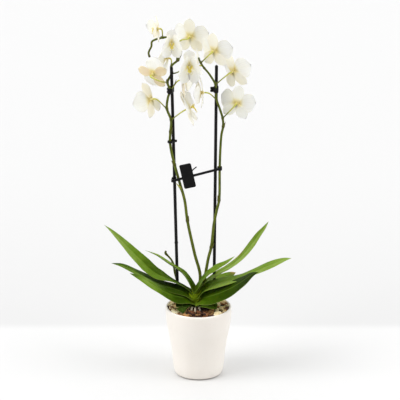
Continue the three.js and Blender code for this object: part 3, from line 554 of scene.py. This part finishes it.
blade = Finish("leaf skin", IOR=1.12, Subsurface_Weight=0.12, Subsurface_Scale=0.002)
s, t, side = (blade.part(blade.place(), axis) for axis in range(3))
vein = blade.noise(blade.place((1.2, 16, 0)), 1, 3)
fine = blade.noise(blade.place((5, 60, 0)), 1, 2)
blotch = blade.noise(blade.here(), 70, 3)
shade = blade.tone() + (blotch - 0.5) * 0.3 + (vein - 0.5) * 0.22
# Painted sheen: the two lightest stops are greyer, for the satin sheen on the lit parts of the leaves.
green = blade.ramp(shade, (0.0, paint(26, 44, 1)), (0.3, paint(58, 84, 3)), (0.55, paint(98, 128, 24)),
                   (0.8, paint(132, 158, 66)), (1.0, paint(158, 184, 96)))
green = blade.mix((1 - blade.step(abs(t), 0.0, 0.09)) * 0.3, green, paint(128, 156, 60))
green = blade.mix((1 - blade.step(side, -0.3, 0.3)) * 0.3, green, paint(84, 112, 34))
green = blade.mix(blade.step(abs(t), 0.93, 1.0) * 0.35, green, paint(160, 180, 90))
green = blade.mix((1 - blade.step(s, 0.0, 0.12)) * 0.35, green, paint(120, 140, 40))
green = blade.mix(blade.step(s, 0.985, 1.0) * 0.5, green, paint(120, 96, 50))
x, y = (blade.part(blade.here(), axis) for axis in range(2))  # a leaf at the right has a browned edge
worn = blade.step(y, 0.022, 0.03) * blade.step(x, 0.054, 0.064)
worn = worn * (1 - blade.step(x, 0.076, 0.086)) * (0.4 + 0.6 * blade.step(t, 0.0, 0.8))
green = blade.mix(worn, green, blade.ramp(blotch, (0.4, paint(120, 62, 34)), (0.6, paint(190, 150, 90))))
blade.wear(green, 0.36 + blotch * 0.12 + fine * 0.06, vein + fine * 0.5, 0.35)
for name, row in LEAVES.items():
    make_piece("strap_" + name, [leaf(**row)], blade, "leaf", name)

# ---- Spikes ----
# Two round flowering stems with a ring and a thin dry bract at each node, and from every node of the
# spray a pedicel that thickens into the back of its bloom. All of it grows as one, so it is one piece.
STATIONS = 420
STEM_RADIUS, STEM_TIP_RADIUS = 2.95, 1.75
PEDICEL_ROOT, PEDICEL_WAIST, PEDICEL_END = 1.45, 1.05, 1.5
HUB = 4.3
SPIKES = {
    "spike_left": dict(
        stem=[(-8, 4, 126), (-2, 7, 150), (3, 8, 185), (-7, 8, 228), (-20, 8, 292), (-25, 8, 331),
              (-34, 8, 365), (-43, 8, 399), (-49, 8, 426), (-51, 9, 444), (-50, 9, 460), (-49, 9, 482),
              (-56, 6, 504),
              (-54, 4, 526), (-50, 2, 539), (-55, 13, 551), (-48, 22, 564), (-48, 20.5, 578), (-36.5, 6, 594),
              (-31, -18, 618), (-38, -28, 637), (-50, -34, 647), (-62, -38, 648), (-81, -42, 642),
              (-82, -43, 634), (-87, -43, 622), (-85, -42, 613)],
        nodes=[4, 7, 10], withered=[18, 20, 26], leafy=[151]),
    "spike_right": dict(
        stem=[(1, 6, 124), (6, 8, 148), (14, 8, 197), (18, 8, 220), (23, 8, 241), (28, 8, 287),
              (33, 8, 312), (37, 8, 331), (38, 8, 391), (39, 9, 425), (41, 10, 454), (44, 10, 470),
              (43, 9, 485), (38, 7, 503),
              (32, 5, 522), (31, 4, 539), (30, 2, 550), (19, -6, 572), (10, -12, 585), (4, -18, 596),
              (0, -25, 608)],
        nodes=[4, 7, 11], withered=[], leafy=[]),
}
# Each bloom's tan share makes its sepals beige, most on their backs: partly their own tint and partly painted
# shade on the blooms that lie in shade.
BLOOMS = {
    "left_bloom_1": dict(heart=(-17, -8, 509), turn=80, up=26, sweep=4, lift=34, root=11, tan_and_shade=0.5),
    "left_bloom_2": dict(heart=(-84, -6, 525), turn=-122, up=-20, lean=-10, sweep=18, lift=16, root=12,
                         tan_and_shade=0.25),
    "left_bloom_3": dict(heart=(-80, 2, 570), turn=155, up=10, lean=-78, size=0.88, root=15, tan_and_shade=0.7,
                         via=(-67, -18, 562)),
    "left_bloom_4": dict(heart=(-56, 35, 590), turn=-104, up=10, root=17),
    "left_bloom_5": dict(heart=(-47, -54, 642), turn=4, up=0, sweep=30, lift=22, spread=150, size=0.85,
                         root=18),
    # The sixth bloom's sepals and petals are made beige as painted shade, so that its side facing the left
    # lamp does not wash out.
    "left_bloom_6": dict(heart=(-72, -46, 666), turn=-72, up=0, sweep=16, size=0.7, root=22, tan_and_shade=0.5,
                         petal_shade=0.25),
    "left_bloom_7": dict(heart=(-15, 16, 635), turn=162, up=8, root=19, via=(-33, -6, 632), tan_and_shade=0.2),
    "left_bloom_8": dict(heart=(-16, -50, 600), turn=4, up=-4, sweep=30, lift=24, spread=157, root=16,
                         via=(-37.5, 10, 570)),
    "left_bloom_9": dict(heart=(-24, 0, 559), turn=98, up=-8, size=0.9, root=14, dried=13, tan_and_shade=0.5),
    "right_bloom_1": dict(heart=(68, 2, 516), turn=166, up=6, lean=10, sweep=10, root=12),
    "right_bloom_2": dict(heart=(61, 14, 571), turn=142, up=6, lean=-18, sweep=14, root=16, tan_and_shade=0.2),
    "right_bloom_3": dict(heart=(27, -20, 619), turn=152, up=10, sweep=12, root=19, tan_and_shade=0.2),
    "right_bloom_4": dict(heart=(-3, 8, 583), turn=-78, up=2, size=0.95, root=18),
    "right_bloom_5": dict(heart=(6, -11, 539), turn=-94, up=-4, sweep=12, size=0.85, root=14),
}


def bloom_axes(turn, up, lean=0, **rest):
    """The sideways, upward and forward directions of a bloom: turned about +Z from facing -Y, tipped up,
    then its face turned by lean about the way it looks."""
    turn, up, lean = np.radians((turn, up, lean))
    front = np.array([np.sin(turn) * np.cos(up), -np.cos(turn) * np.cos(up), np.sin(up)])
    top = unit(np.array([0, 0, 1]) - front * front[2])
    top = top * np.cos(lean) + np.cross(front, top) * np.sin(lean)
    return np.cross(top, front), top, front


def pedicel_path(root, bloom, count=30):
    """From the stem outwards, then round to meet the back of the bloom head on."""
    front = bloom_axes(**bloom)[2]
    root, heart = np.array(root, float), np.array(bloom["heart"], float)
    end = heart - front * HUB
    span = np.linalg.norm(end - root)
    leave = root + (end - root) * 0.35
    arrive = end - front * min(span * 0.4, 12)
    if "via" in bloom:
        return smooth_line([root, bloom["via"], arrive + (end - arrive) * 0.4, end], count)
    u = np.linspace(0, 1, count)[:, None]
    return (1 - u) ** 3 * root + 3 * u * (1 - u) ** 2 * leave + 3 * u**2 * (1 - u) * arrive + u**3 * end


def bract(path, station, radius, height, side, spread=1.25, flare=0.9, dry=0.45, tone=0.35):
    """A small leaf that clasps a rod at one station and points along it: at s along it is a part of a
    circle about the rod that narrows to a tip and leans away from it."""
    tangent, first, over = directions(path)
    toward = np.arctan2(over[station] @ side, first[station] @ side)
    s = np.linspace(0, 1, 12)[:, None]
    t = edge_to_edge(11)
    angle = toward + t * spread * np.maximum(1 - s**1.6, 0.004) ** 0.7
    out = radius + 0.25 + flare * s**1.5
    middle = (path[station] + tangent[station] * (s * height - 0.12 * height)[..., None]
              + (out * np.cos(angle))[..., None] * first[station]
              + (out * np.sin(angle))[..., None] * over[station])
    thick = 0.3 * np.sqrt(1 - np.abs(t) ** 5) * (1 - 0.6 * s)
    rings, place = two_faced(middle, s, t, thick, thick)
    place[..., 2] = dry * (1 + 1.1 * s)
    return skin(rings, place, tone)


stalk = Finish("spike skin", IOR=1.3, Subsurface_Weight=0.1, Subsurface_Scale=0.001)
s, _, brown = (stalk.part(stalk.place(), axis) for axis in range(3))
fleck = stalk.noise(stalk.here(), 800, 3)
streak = stalk.noise(stalk.here((1, 1, 0.08)), 900, 3)
young = stalk.step(s * stalk.tone(), 0.0, 0.75)
green = stalk.ramp(streak, (0.35, paint(68, 80, 8)), (0.65, paint(108, 118, 28)))
green = stalk.mix(young, green, paint(200, 200, 92))
green = stalk.mix(brown, green, stalk.ramp(fleck, (0.3, paint(54, 48, 14)), (0.7, paint(98, 92, 36))))
stalk.wear(green, 0.42 + fleck * 0.2, streak + fleck * 0.5, 0.16)


def nearest(path, point):
    """The number of the path's station that lies nearest to a point."""
    return int(np.argmin(np.linalg.norm(path - point, axis=1)))


def swell(path, stations, size, width):
    """A soft bump at each of these stations: size times e to the minus square of the way to it in widths."""
    gap = np.linalg.norm(np.diff(path, axis=0), axis=1).mean()
    away = (np.arange(len(path)) - np.reshape(stations, (-1, 1))) * gap / width
    return size * np.exp(-away**2).sum(0)


for name, row in SPIKES.items():
    path = smooth_line(row["stem"], STATIONS)
    run = np.linspace(0, 1, STATIONS)
    mine = [bloom for key, bloom in BLOOMS.items() if key.split("_")[0] == name.split("_")[1]]
    rings, withered, joins = ([nearest(path, row["stem"][i]) for i in points] for points in (
        row["nodes"], row["withered"], [bloom["root"] for bloom in mine]))
    radius = STEM_RADIUS + (STEM_TIP_RADIUS - STEM_RADIUS) * run
    radius += swell(path, rings, 0.7, 2.6) + swell(path, joins, 0.5, 2.2) + swell(path, withered, 0.8, 3)
    radius *= rounded(run, 0.004)
    browned = np.clip(swell(path, rings, 0.9, 1.9) + swell(path, joins, 0.5, 1.6)
                      + swell(path, withered, 1.2, 4) + (run > 0.93) * 0.3, 0, 1)
    skins = [skin(*tube(path, radius, 16, browned))]
    for number, station in enumerate(rings):
        skins.append(bract(path, station, radius[station] - 0.3, 11, np.array([(-1) ** number, -0.4, 0])))
    for station in row["leafy"]:
        skins.append(bract(path, station, radius[station] - 0.3, 19, np.array([-1, -0.5, 0]),
                           spread=1.5, flare=4.5, dry=0, tone=0.7))
    for bloom, station in zip(mine, joins):
        stalklet = pedicel_path(row["stem"][bloom["root"]], bloom)
        u = np.linspace(0, 1, 30)
        thick = np.interp(u, [0, 0.25, 0.6, 1],
                          [PEDICEL_ROOT, PEDICEL_WAIST, PEDICEL_WAIST + 0.1, PEDICEL_END])
        skins.append(skin(*tube(stalklet, thick * rounded(u, 0.012), 14), 1.0))
        skins.append(bract(path, station, radius[station] - 0.4, 5.5, stalklet[8] - stalklet[0], 0.9, 1.6))
        if "dried" in bloom:
            skins.append(bract(stalklet, 12, 0.8, bloom["dried"], np.array([0, -0.3, 1]), 1.1, 2.4, 0.9))
    make_piece("flower_" + name, skins, stalk, "stem", name)

# ---- Old spike ----
# The stub of last year's spike behind the left leaves, cut off above a node and dried at the cut.
OLD_SPIKE = [(-12, 6, 138), (-21, 11, 143), (-30, 17, 150), (-37, 22, 164), (-43, 26, 184), (-46, 28, 201),
             (-50, 29, 209), (-56, 30, 216), (-60, 30, 221), (-59, 30, 226)]
path = smooth_line(OLD_SPIKE, 90)
run = np.linspace(0, 1, 90)
ring, stub = (np.exp(-(((run - at) / width) ** 2)) for at, width in ((0.69, 0.025), (0.943, 0.04)))
radius = (2.5 - 0.9 * run + 0.7 * stub + 0.6 * ring) * rounded(run, 0.012)
dried = np.clip(0.1 + (run - 0.5) * 0.6 + 0.5 * (run > 0.985) + 0.6 * ring, 0, 1)
make_piece("cut_spike", [skin(*tube(path, radius, 14, dried)),
                         bract(path, 62, 1.9, 9, np.array([-1, -0.5, 0]))], stalk, "stem", "old_spike")

# ---- Stakes ----
# Two straight sticks with a black plastic skin and round ends, pushed deep into the bark. The left one
# has a small burr where its skin was moulded.
STAKE_RADIUS, STAKE_Y, STAKE_FOOT = 2.85, 14.5, 20
STAKES = {"stake_left": (-35, -48, 580), "stake_right": (27, 32, 583)}
BURR = 247

black = Finish("black plastic", IOR=1.3)
at = black.here()
scuff = black.noise(black.here((1, 1, 0.06)), 1500, 4)
dust = black.noise(at, 55, 4)
black.wear(black.mix(black.step(dust, 0.5, 0.8) * 0.5, paint(8, 8, 9), paint(24, 24, 24)),
           0.46 + dust * 0.22, scuff, 0.12)
for name, (foot, head, top) in STAKES.items():
    path = np.linspace((foot, STAKE_Y, STAKE_FOOT), (head, STAKE_Y, top), 240)
    burr = 0.55 * np.exp(-(((path[:, 2] - BURR) / 1.6) ** 2)) * (name == "stake_left")
    radius = (STAKE_RADIUS + burr) * rounded(np.linspace(0, 1, 240), 0.0045)
    make_piece("black_" + name, [skin(*tube(path, radius, 22))], black, "plastic", name)

# ---- Clips ----
# Three small moulded claws. Each is one band that closes round its stake and the spike beside it, with
# two finger tabs on a short neck, which is pinched to open it.
CLIPS = {
    "clip_left_low": dict(stake=(-45.8, STAKE_Y, 441), stem=(-51, 9, 441), height=4,
                          grip=(-40.5, STAKE_Y, 441)),
    "clip_left_high": dict(stake=(-47.4, STAKE_Y, 538), stem=(-50.5, 2.5, 538), height=10,
                           grip=(-54, 6, 538)),
    "clip_right": dict(stake=(31.3, STAKE_Y, 539), stem=(31, 4, 539), height=9, grip=(23, 9, 539)),
}
CLIP_RADIUS, GRIP_RADIUS, CLIP_WALL = 4.4, 2.2, 1.4


def round_both(start, end, radius, count=48):
    """A loop round two points at one height, at radius from the line between them: half a circle about
    each, joined by straight runs. Returns the loop and the way outwards from it."""
    start, end = np.array(start, float), np.array(end, float)
    heading = np.arctan2(*(end - start)[1::-1])
    turn = heading + np.linspace(-np.pi / 2, 1.5 * np.pi, count, endpoint=False) + np.pi / count
    outward = np.stack([np.cos(turn), np.sin(turn), 0 * turn], 1)
    nearer_end = (np.cos(turn - heading) > 0)[:, None]
    return np.where(nearer_end, end, start) + outward * radius, outward


def squarish(angle, power):
    """A cosine made blunt: its size is raised to a power below 1, and its sign is kept."""
    return np.sign(np.cos(angle)) * np.abs(np.cos(angle)) ** power


def band(start, end, radius, wall, height, count=48):
    """A band round two points: a cross-section with rounded corners, wall thick and height tall, carried
    along the loop round them."""
    loop, outward = round_both(start, end, radius, count)
    corner = np.linspace(0, 2 * np.pi, 20, endpoint=False)
    across = squarish(corner, 0.4) * wall / 2 - wall / 2
    upright = squarish(corner - np.pi / 2, 0.4) * height / 2
    rings = loop[:, None] + across[:, None] * outward[:, None] + upright[:, None] * np.array([0, 0, 1.0])
    return skin(rings, looped=True)


def lozenge(start, end, radius, height, rows=9, count=32):
    """A flat bar with round ends and softly rounded edges: the loop round two points, drawn in by a
    quarter ellipse towards its upper and lower faces."""
    rise = np.linspace(-1, 1, rows)
    draw = radius - 0.7 * (1 - np.sqrt(1 - np.abs(rise) ** 4))
    loops = [round_both(start, end, r, count)[0] + (0, 0, z * height / 2) for r, z in zip(draw, rise)]
    return skin(np.array(loops))


for name, clip in CLIPS.items():
    middle = (np.array(clip["stake"]) + clip["stem"]) / 2
    away = unit(np.array(clip["grip"]) - middle)
    neck = middle + away * CLIP_RADIUS * 0.7
    tabs = [lozenge(clip["grip"] + lift, neck + lift, GRIP_RADIUS, clip["height"] * 0.46)
            for lift in np.array([[0, 0, 0.27], [0, 0, -0.27]]) * clip["height"]]
    bridge = lozenge(clip["grip"] - away * 1.2, neck, GRIP_RADIUS * 0.7, clip["height"] * 0.5)
    make_piece("claw_" + name, [band(clip["stake"], clip["stem"], CLIP_RADIUS, CLIP_WALL, clip["height"]),
                                bridge, *tabs], black, "plastic", name)

# ---- Tie bar and tag ----
# A moulded bar with a row of ratchet teeth runs in front of both spikes from a holder on each side, and
# keeps them apart. A bare black card with round corners hangs on it, with the stiff tail of its tie.
BAR_FROM, BAR_TO = np.array([-46, 3.8, 369.0]), np.array([42, 3.8, 393.0])
BAR_HEIGHT, BAR_DEPTH, TEETH = 4.6, 3.0, 44
HOLDERS = [((-43.6, STAKE_Y, 369.5), (-44.6, 4, 369.5), 5), ((37.9, 8, 392), (37.9, 4, 392), 5.5)]
TAIL = [(-15, 4, 380), (-12, 3.8, 387), (-9, 3.6, 391), (-3, 3, 396)]
TAG = dict(width=21.5, height=46, depth=1.2, corner=3, tilt=12.5, place=(-19.5, 2, 379))

count = 8 * TEETH + 1
run = np.linspace(0, 1, count)
path = BAR_FROM + run[:, None] * (BAR_TO - BAR_FROM)
lengthwise = unit(BAR_TO - BAR_FROM)
over = np.cross((0, 1, 0), lengthwise)
corner = np.linspace(0, 2 * np.pi, 24, endpoint=False)
tooth = 0.35 * ((run * TEETH) % 1) * (np.abs(run - 0.5) < 0.42)
deep = squarish(corner, 0.5) * BAR_DEPTH / 2
tall = squarish(corner - np.pi / 2, 0.5)
lower = (tall < 0) * tall
rings = (path[:, None] + deep[:, None] * np.array([0, 1.0, 0])
         + (tall * BAR_HEIGHT / 2 * rounded(run, 0.012)[:, None] - lower * tooth[:, None])[..., None] * over)
skins = [skin(rings)]
skins += [band(start, end, CLIP_RADIUS, CLIP_WALL, height) for start, end, height in HOLDERS]
skins.append(skin(*tube(smooth_line(TAIL, 40), 1.1 * rounded(np.linspace(0, 1, 40), 0.05), 12)))
make_piece("ratchet_tie_bar", skins, black, "plastic", "tie_bar")

card = Finish("black card", IOR=1.25)
paper = card.noise(card.here(), 1300, 5, 0.6)
mark = card.noise(card.here(), 90, 3)
card.wear(card.mix(card.step(mark, 0.45, 0.75) * 0.5, paint(12, 12, 13), paint(24, 22, 22)),
          0.5 + mark * 0.2, paper, 0.08)
x, y = TAG["width"] / 2 - TAG["corner"], TAG["height"] / 2 - TAG["corner"]
turn = np.linspace(0, 2 * np.pi, 64, endpoint=False) + np.pi / 64
edge = np.stack([np.cos(turn), np.sin(turn)], 1)
centre = np.sign(edge) * (x, y)
drawn = np.array([2.2, 0.5, 0.1, 0, 0, 0.1, 0.5, 2.2])
depth = np.array([0.5, 0.5, 0.42, 0.25, -0.25, -0.42, -0.5, -0.5]) * TAG["depth"]
flat = centre + edge * (TAG["corner"] - np.minimum(drawn, TAG["corner"] - 0.3))[:, None, None]
bow = 0.8 * (flat[..., 1] / TAG["height"]) ** 2
rings = np.stack([flat[..., 0], -depth[:, None] - bow - TAG["depth"] / 2 + 0.2, flat[..., 1]], -1)
tilt = np.radians(TAG["tilt"])
rings = np.stack([rings[..., 0] * np.cos(tilt) - rings[..., 2] * np.sin(tilt), rings[..., 1],
                  rings[..., 0] * np.sin(tilt) + rings[..., 2] * np.cos(tilt)], -1) + TAG["place"]
make_piece("hang_tag", [skin(rings)], card, "plastic", "tag")

# ---- Tepals ----
# Every bloom has two broad petals and three narrower sepals, grown together at a small heart that is
# yellow behind. They are thin, waxy and white, with faint veins, a soft hollow and a margin that waves.
PETAL = dict(length=33, half_width=19, lift=1.6, widest=0.56, claw=0.22)
SEPAL = dict(length=33, half_width=10.5, lift=-1.6, widest=0.58, claw=0.34)
TEPAL_HALF, TEPAL_CUP, TEPAL_CURL = 0.42, 0.09, 0.9
SEPAL_SPREAD, SEPAL_SWEEP = 144, 0.3
PETAL_SWEEP, PETAL_LIFT = 8, 6


def tepal(heart, axes, angle, sweep, length, half_width, lift, widest, claw, tone, seed):
    """A petal or sepal. s runs out from the heart and t across; the half width grows from the claw as a
    sine up to where it is widest, then closes as part of an ellipse. It sweeps forward as it goes out,
    falls back towards its margins, has a groove along its middle, and its margin waves."""
    right, top, front = axes
    dice = np.random.default_rng(seed)
    out = right * np.cos(np.radians(angle)) + top * np.sin(np.radians(angle))
    across = np.cross(front, out)
    s = (0.02 + 0.98 * np.sin(np.linspace(0, np.pi / 2, 34)) ** 1.1)[:, None]
    t = edge_to_edge(23)
    grown = claw + (1 - claw) * np.sin(np.pi / 2 * np.clip(s / widest, 0, 1)) ** 1.15
    closed = np.sqrt(np.maximum(1 - np.clip((s - widest) / (1 - widest), 0, 1) ** 2.3, 4e-4))
    width = half_width * np.where(s < widest, grown, closed)
    along = 1 + length * (s - 0.05 * s**2 * t**2)
    bend = np.radians(sweep) * (1 + TEPAL_CURL * s)
    pace, phase, skew = dice.uniform(1.2, 2.2), dice.uniform(0, 6.28, 2), dice.uniform(-0.07, 0.07)
    wave = 0.075 * half_width * s * t**2 * np.sin(2 * np.pi * pace * s + phase[0] + 1.7 * np.sign(t))
    wave += 0.5 * s * np.sin(2.6 * t + phase[1]) + skew * width * t
    groove = -0.35 * np.exp(-((t / 0.09) ** 2)) * (1 - s)
    raised = along * np.sin(bend) + lift - TEPAL_CUP * width * t**2 + wave + groove
    middle = (heart + (along * np.cos(bend))[..., None] * out + (width * t)[..., None] * across
              + raised[..., None] * front)
    thick = TEPAL_HALF * np.sqrt(1 - np.abs(t) ** 6) * (1.25 - 0.6 * s)
    normal = np.cross(np.gradient(middle, axis=0), np.gradient(middle, axis=1))
    if (normal @ front).sum() < 0:
        middle, t, thick = middle[:, ::-1], t[:, ::-1], thick[:, ::-1]
    return skin(*two_faced(middle, s, t, thick, thick), tone)


def hub(heart, axes):
    """The heart of a bloom: a small round body about the way it faces, drawn out to the pedicel."""
    right, top, front = axes
    u = np.linspace(0, 1, 16)
    depth = -HUB + 7.6 * u
    radius = np.interp(u, [0, 0.2, 0.5, 0.8, 0.95, 1], [1.5, 2.4, 3.2, 2.9, 1.6, 0.4])
    angle = np.linspace(0, 2 * np.pi, 18, endpoint=False)[:, None]
    rings = (heart + depth[:, None, None] * front
             + radius[:, None, None] * (np.cos(angle) * right + np.sin(angle) * top))
    place = np.zeros_like(rings)
    place[..., 2] = np.interp(u, [0, 0.6, 1], [-1, -0.5, 1])[:, None]
    return skin(rings, place, 0.5)


waxy = Finish("white petal", IOR=1.4, Subsurface_Weight=1.0, Subsurface_Scale=0.0013,
              Subsurface_Radius=(0.9, 0.9, 0.85))
s, t, side = (waxy.part(waxy.place(), axis) for axis in range(3))
vein = waxy.noise(waxy.place((1.1, 9, 0)), 1, 4, 0.6)
line = waxy.step(vein, 0.5, 0.58) * (1 - waxy.step(vein, 0.6, 0.72))
cells = waxy.noise(waxy.here(), 1500, 2)
cloud = waxy.noise(waxy.here(), 45, 2)
behind = 1 - waxy.step(side, -0.2, 0.2)
# The beige mix on the sepals, stronger on their backs: partly their own tint and partly painted shade.
tan_and_shade_share = (waxy.tone() - 0.6) * 2.5
white = waxy.ramp(cloud, (0.3, paint(253, 248, 236)), (0.7, paint(254, 252, 244)))
white = waxy.mix(line * 0.2 * (1 - s * 0.5), white, paint(214, 204, 176))
tan_and_shade_share = tan_and_shade_share.math("MAXIMUM", tan_and_shade_share, 0)
white = waxy.mix(tan_and_shade_share * (0.3 + behind * 0.5), white, paint(216, 190, 136))
# Painted shade: the margins are made darker beige, for the shade where the tepals curl and overlap.
white = waxy.mix(waxy.step(abs(t), 0.8, 1.0) * 0.25, white, paint(226, 214, 188))
near = 1 - waxy.step(s, 0.0, 0.34)
white = waxy.mix(near * (0.5 + behind * 0.3), white, paint(226, 208, 104))
waxy.wear(white, 0.5 + vein * 0.1, vein + cells * 0.5, 0.22)

for number, (name, bloom) in enumerate(BLOOMS.items()):
    axes, heart, size = bloom_axes(**bloom), np.array(bloom["heart"], float), bloom.get("size", 1)
    spread, tan_and_shade = bloom.get("spread", SEPAL_SPREAD), bloom.get("tan_and_shade", 0.05)
    swept, lifted = bloom.get("sweep", PETAL_SWEEP), bloom.get("lift", PETAL_LIFT)
    rows = [(angle, PETAL, swept) for angle in (lifted, 180 - lifted)]
    rows += [(angle, SEPAL, swept * SEPAL_SWEEP) for angle in (90, 90 + spread, 90 - spread)]
    skins = [hub(heart, axes)]
    for place, (angle, kind, sweep) in enumerate(rows):
        sized = {**kind, "length": kind["length"] * size, "half_width": kind["half_width"] * size}
        # Sepals take the bloom's beige share; the sixth bloom's petals take a painted shade.
        sized["tone"] = 0.6 + 0.4 * (tan_and_shade if kind is SEPAL else bloom.get("petal_shade", 0))
        skins.append(tepal(heart, axes, angle, sweep, seed=100 * number + place, **sized))
    make_piece("open_" + name, skins, waxy, "petal", name + "_tepals")

# ---- Lips ----
# In the middle of each bloom a short white column hangs over the lip: two golden side lobes stand up
# beside it, a small callus sits between them, and the narrow front lobe ends in two thin tendrils.
LIP_HALF_WIDTHS = [3.4, 7.0, 3.0, 4.5, 0.8]

golden = Finish("golden lip", IOR=1.3, Subsurface_Weight=0.8, Subsurface_Scale=0.001,
                Subsurface_Radius=(0.9, 0.9, 0.6))
s, t, side = (golden.part(golden.place(), axis) for axis in range(3))
dots = golden.step(golden.noise(golden.here(), 1500, 1), 0.6, 0.68)
vein = golden.noise(golden.place((2, 9, 0)), 1, 3)
gold = golden.ramp(vein, (0.3, paint(246, 222, 96)), (0.7, paint(251, 236, 140)))
gold = golden.mix(dots * (1 - golden.step(s, 0.3, 0.5)) * 0.15, gold, paint(206, 160, 60))
gold = golden.mix(golden.step(abs(t), 0.55, 1.0) * golden.step(s, 0.5, 0.8), gold, paint(246, 238, 206))
gold = golden.mix(golden.step(golden.tone(), 0.4, 0.6), gold, paint(242, 230, 176))
gold = golden.mix(golden.step(golden.tone(), 0.8, 0.95) * 0.6, gold, paint(214, 196, 110))
golden.wear(gold, 0.45 + vein * 0.1, vein, 0.25)


def lip(bloom):
    """The lip and column. The lobes are one sheet that goes down and forward as 9 s and 10 s - 6 s squared,
    is as wide as the list of half widths says, and turns up at both sides about a quarter of the way."""
    right, top, front = bloom_axes(**bloom)
    size = bloom.get("size", 1)
    base = np.array(bloom["heart"], float) + front * HUB

    def put(x, y, z):
        x, y, z = (np.asarray(value, float)[..., None] * size for value in (x, y, z))
        return base + x * right + y * top + z * front

    s = np.linspace(0, 1, 30)[:, None]
    t = edge_to_edge(15)
    profile = smooth_line(np.stack([np.linspace(0, 1, 5), np.array(LIP_HALF_WIDTHS) / 8], 1), 200)
    width = 8 * np.interp(s, profile[:, 0], profile[:, 1]) * np.sqrt(np.clip(1.02 - s**14, 0.02, 1))
    stand = np.clip(1 - 2.2 * np.abs(s - 0.25), 0, 1) ** 1.2
    x = width * t * (1 - 0.3 * stand * t**2)
    y = 6.4 * stand * t**2 - 0.5 - 9 * s + 0.35 * np.sin(9 * s) * t**2
    middle = put(x, y, 1.5 + 10 * s - 6 * s**2 + 0.8 * stand * np.abs(t) + 0 * t)
    thick = 0.42 * np.sqrt(1 - np.abs(t) ** 6) + 0 * s
    skins = [skin(*two_faced(middle, s, t, thick, thick), 0.0)]

    arch = smooth_line(put([0, 0, 0, 0], [-0.3, 1.2, 2.6, 2.7], [-0.6, 3, 6.6, 8.6]), 24)
    u = np.linspace(0, 1, 24)
    girth = size * np.interp(u, [0, 0.3, 0.7, 0.85, 1], [1.8, 1.5, 1.9, 2.0, 1.5]) * rounded(u, 0.14)
    skins.append(skin(*tube(arch, girth, 16), 0.7))
    bead = smooth_line(put([0, 0, 0], [-2.6, -1.4, -1.6], [2.6, 3.8, 5.6]), 12)
    skins.append(skin(*tube(bead, size * 1.35 * rounded(np.linspace(0, 1, 12), 0.4), 12), 0.0))
    for hand in (-1, 1):
        curl = smooth_line(put([0.4 * hand, 1.4 * hand, 3.6 * hand, 5.2 * hand, 5.0 * hand],
                               [-9.2, -11, -12, -10.8, -9.4], [5.4, 6.6, 5.8, 4.4, 3.6]), 26)
        skins.append(skin(*tube(curl, size * np.linspace(0.42, 0.2, 26), 8), 0.9))
    return skins


for name, bloom in BLOOMS.items():
    make_piece("lip_of_" + name, lip(bloom), golden, "lip", name + "_lip")

# ---- Studio ----
# A wide white table top, a soft bright room all round, a large lamp at the left and a smaller one at the
# right, a black board behind the camera that keeps light off the front, and a long lens that looks down.
white_table = Finish("white table", Roughness=0.55)
at = white_table.here()
fibre = white_table.noise(at, 900, 3)
back = white_table.part(at, 1)
# Painted shade: the table top is darker from about 22 cm behind the pot and eases off further back, for the
# light falling off there.
ends = white_table.step(back, 0.2, 0.24) * (1 - white_table.step(back, 0.24, 1.2) * 0.3)
white_table.wear(white_table.mix(ends, paint(223, 223, 223), paint(212, 212, 212)), relief=fibre, depth=0.02)
table = bpy.data.meshes.new("table")
table.from_pydata([(-9, -9, 0), (9, -9, 0), (9, 9, 0), (-9, 9, 0)], [], [(0, 1, 2, 3)])
table.materials.append(white_table.material)
table_top = bpy.data.objects.new("table_top", table)
bpy.context.scene.collection.objects.link(table_top)

board = bpy.data.meshes.new("board")
board.from_pydata([(-3.5, -6, 0), (4.1, -6, 0), (4.1, -6, 6), (-3.5, -6, 6)], [], [(3, 2, 1, 0)])
felt = Finish("black felt", Roughness=1.0)
felt.wear(felt.ramp(felt.noise(felt.here(), 40), (0.3, paint(30, 30, 30)), (0.7, paint(44, 44, 44))))
board.materials.append(felt.material)
black_board = bpy.data.objects.new("black_board", board)
black_board.visible_camera = False
bpy.context.scene.collection.objects.link(black_board)

room = bpy.data.worlds.new("room")
room.use_nodes = True
room.node_tree.nodes["Background"].inputs["Color"].default_value = (1, 1, 1, 1)
room.node_tree.nodes["Background"].inputs["Strength"].default_value = 1.0
bpy.context.scene.world = room
for name, way, softness, power in (
        ("left_lamp", (-1.0, -0.45, 1.5), 34, 1.2), ("right_lamp", (0.93, -0.36, 1.3), 34, 0.65)):
    light = bpy.data.lights.new(name, "SUN")
    light.angle, light.energy = np.radians(softness), power
    lamp = bpy.data.objects.new(name, light)
    way = np.array(way)
    lamp.location = 2 * way
    lamp.rotation_euler = (np.arccos(way[2] / np.linalg.norm(way)), 0, np.arctan2(way[0], -way[1]))
    bpy.context.scene.collection.objects.link(lamp)

lens = bpy.data.cameras.new("long_lens")
lens.lens, lens.sensor_width, lens.clip_end = 250.65, 36, 40
camera = bpy.data.objects.new("camera", lens)
camera.location = (0.0027, -4.7132, 2.0030)
camera.rotation_euler = (np.radians(70.5), 0, 0)
bpy.context.scene.collection.objects.link(camera)
bpy.context.scene.camera = camera
bpy.context.scene.view_settings.view_transform = "Standard"
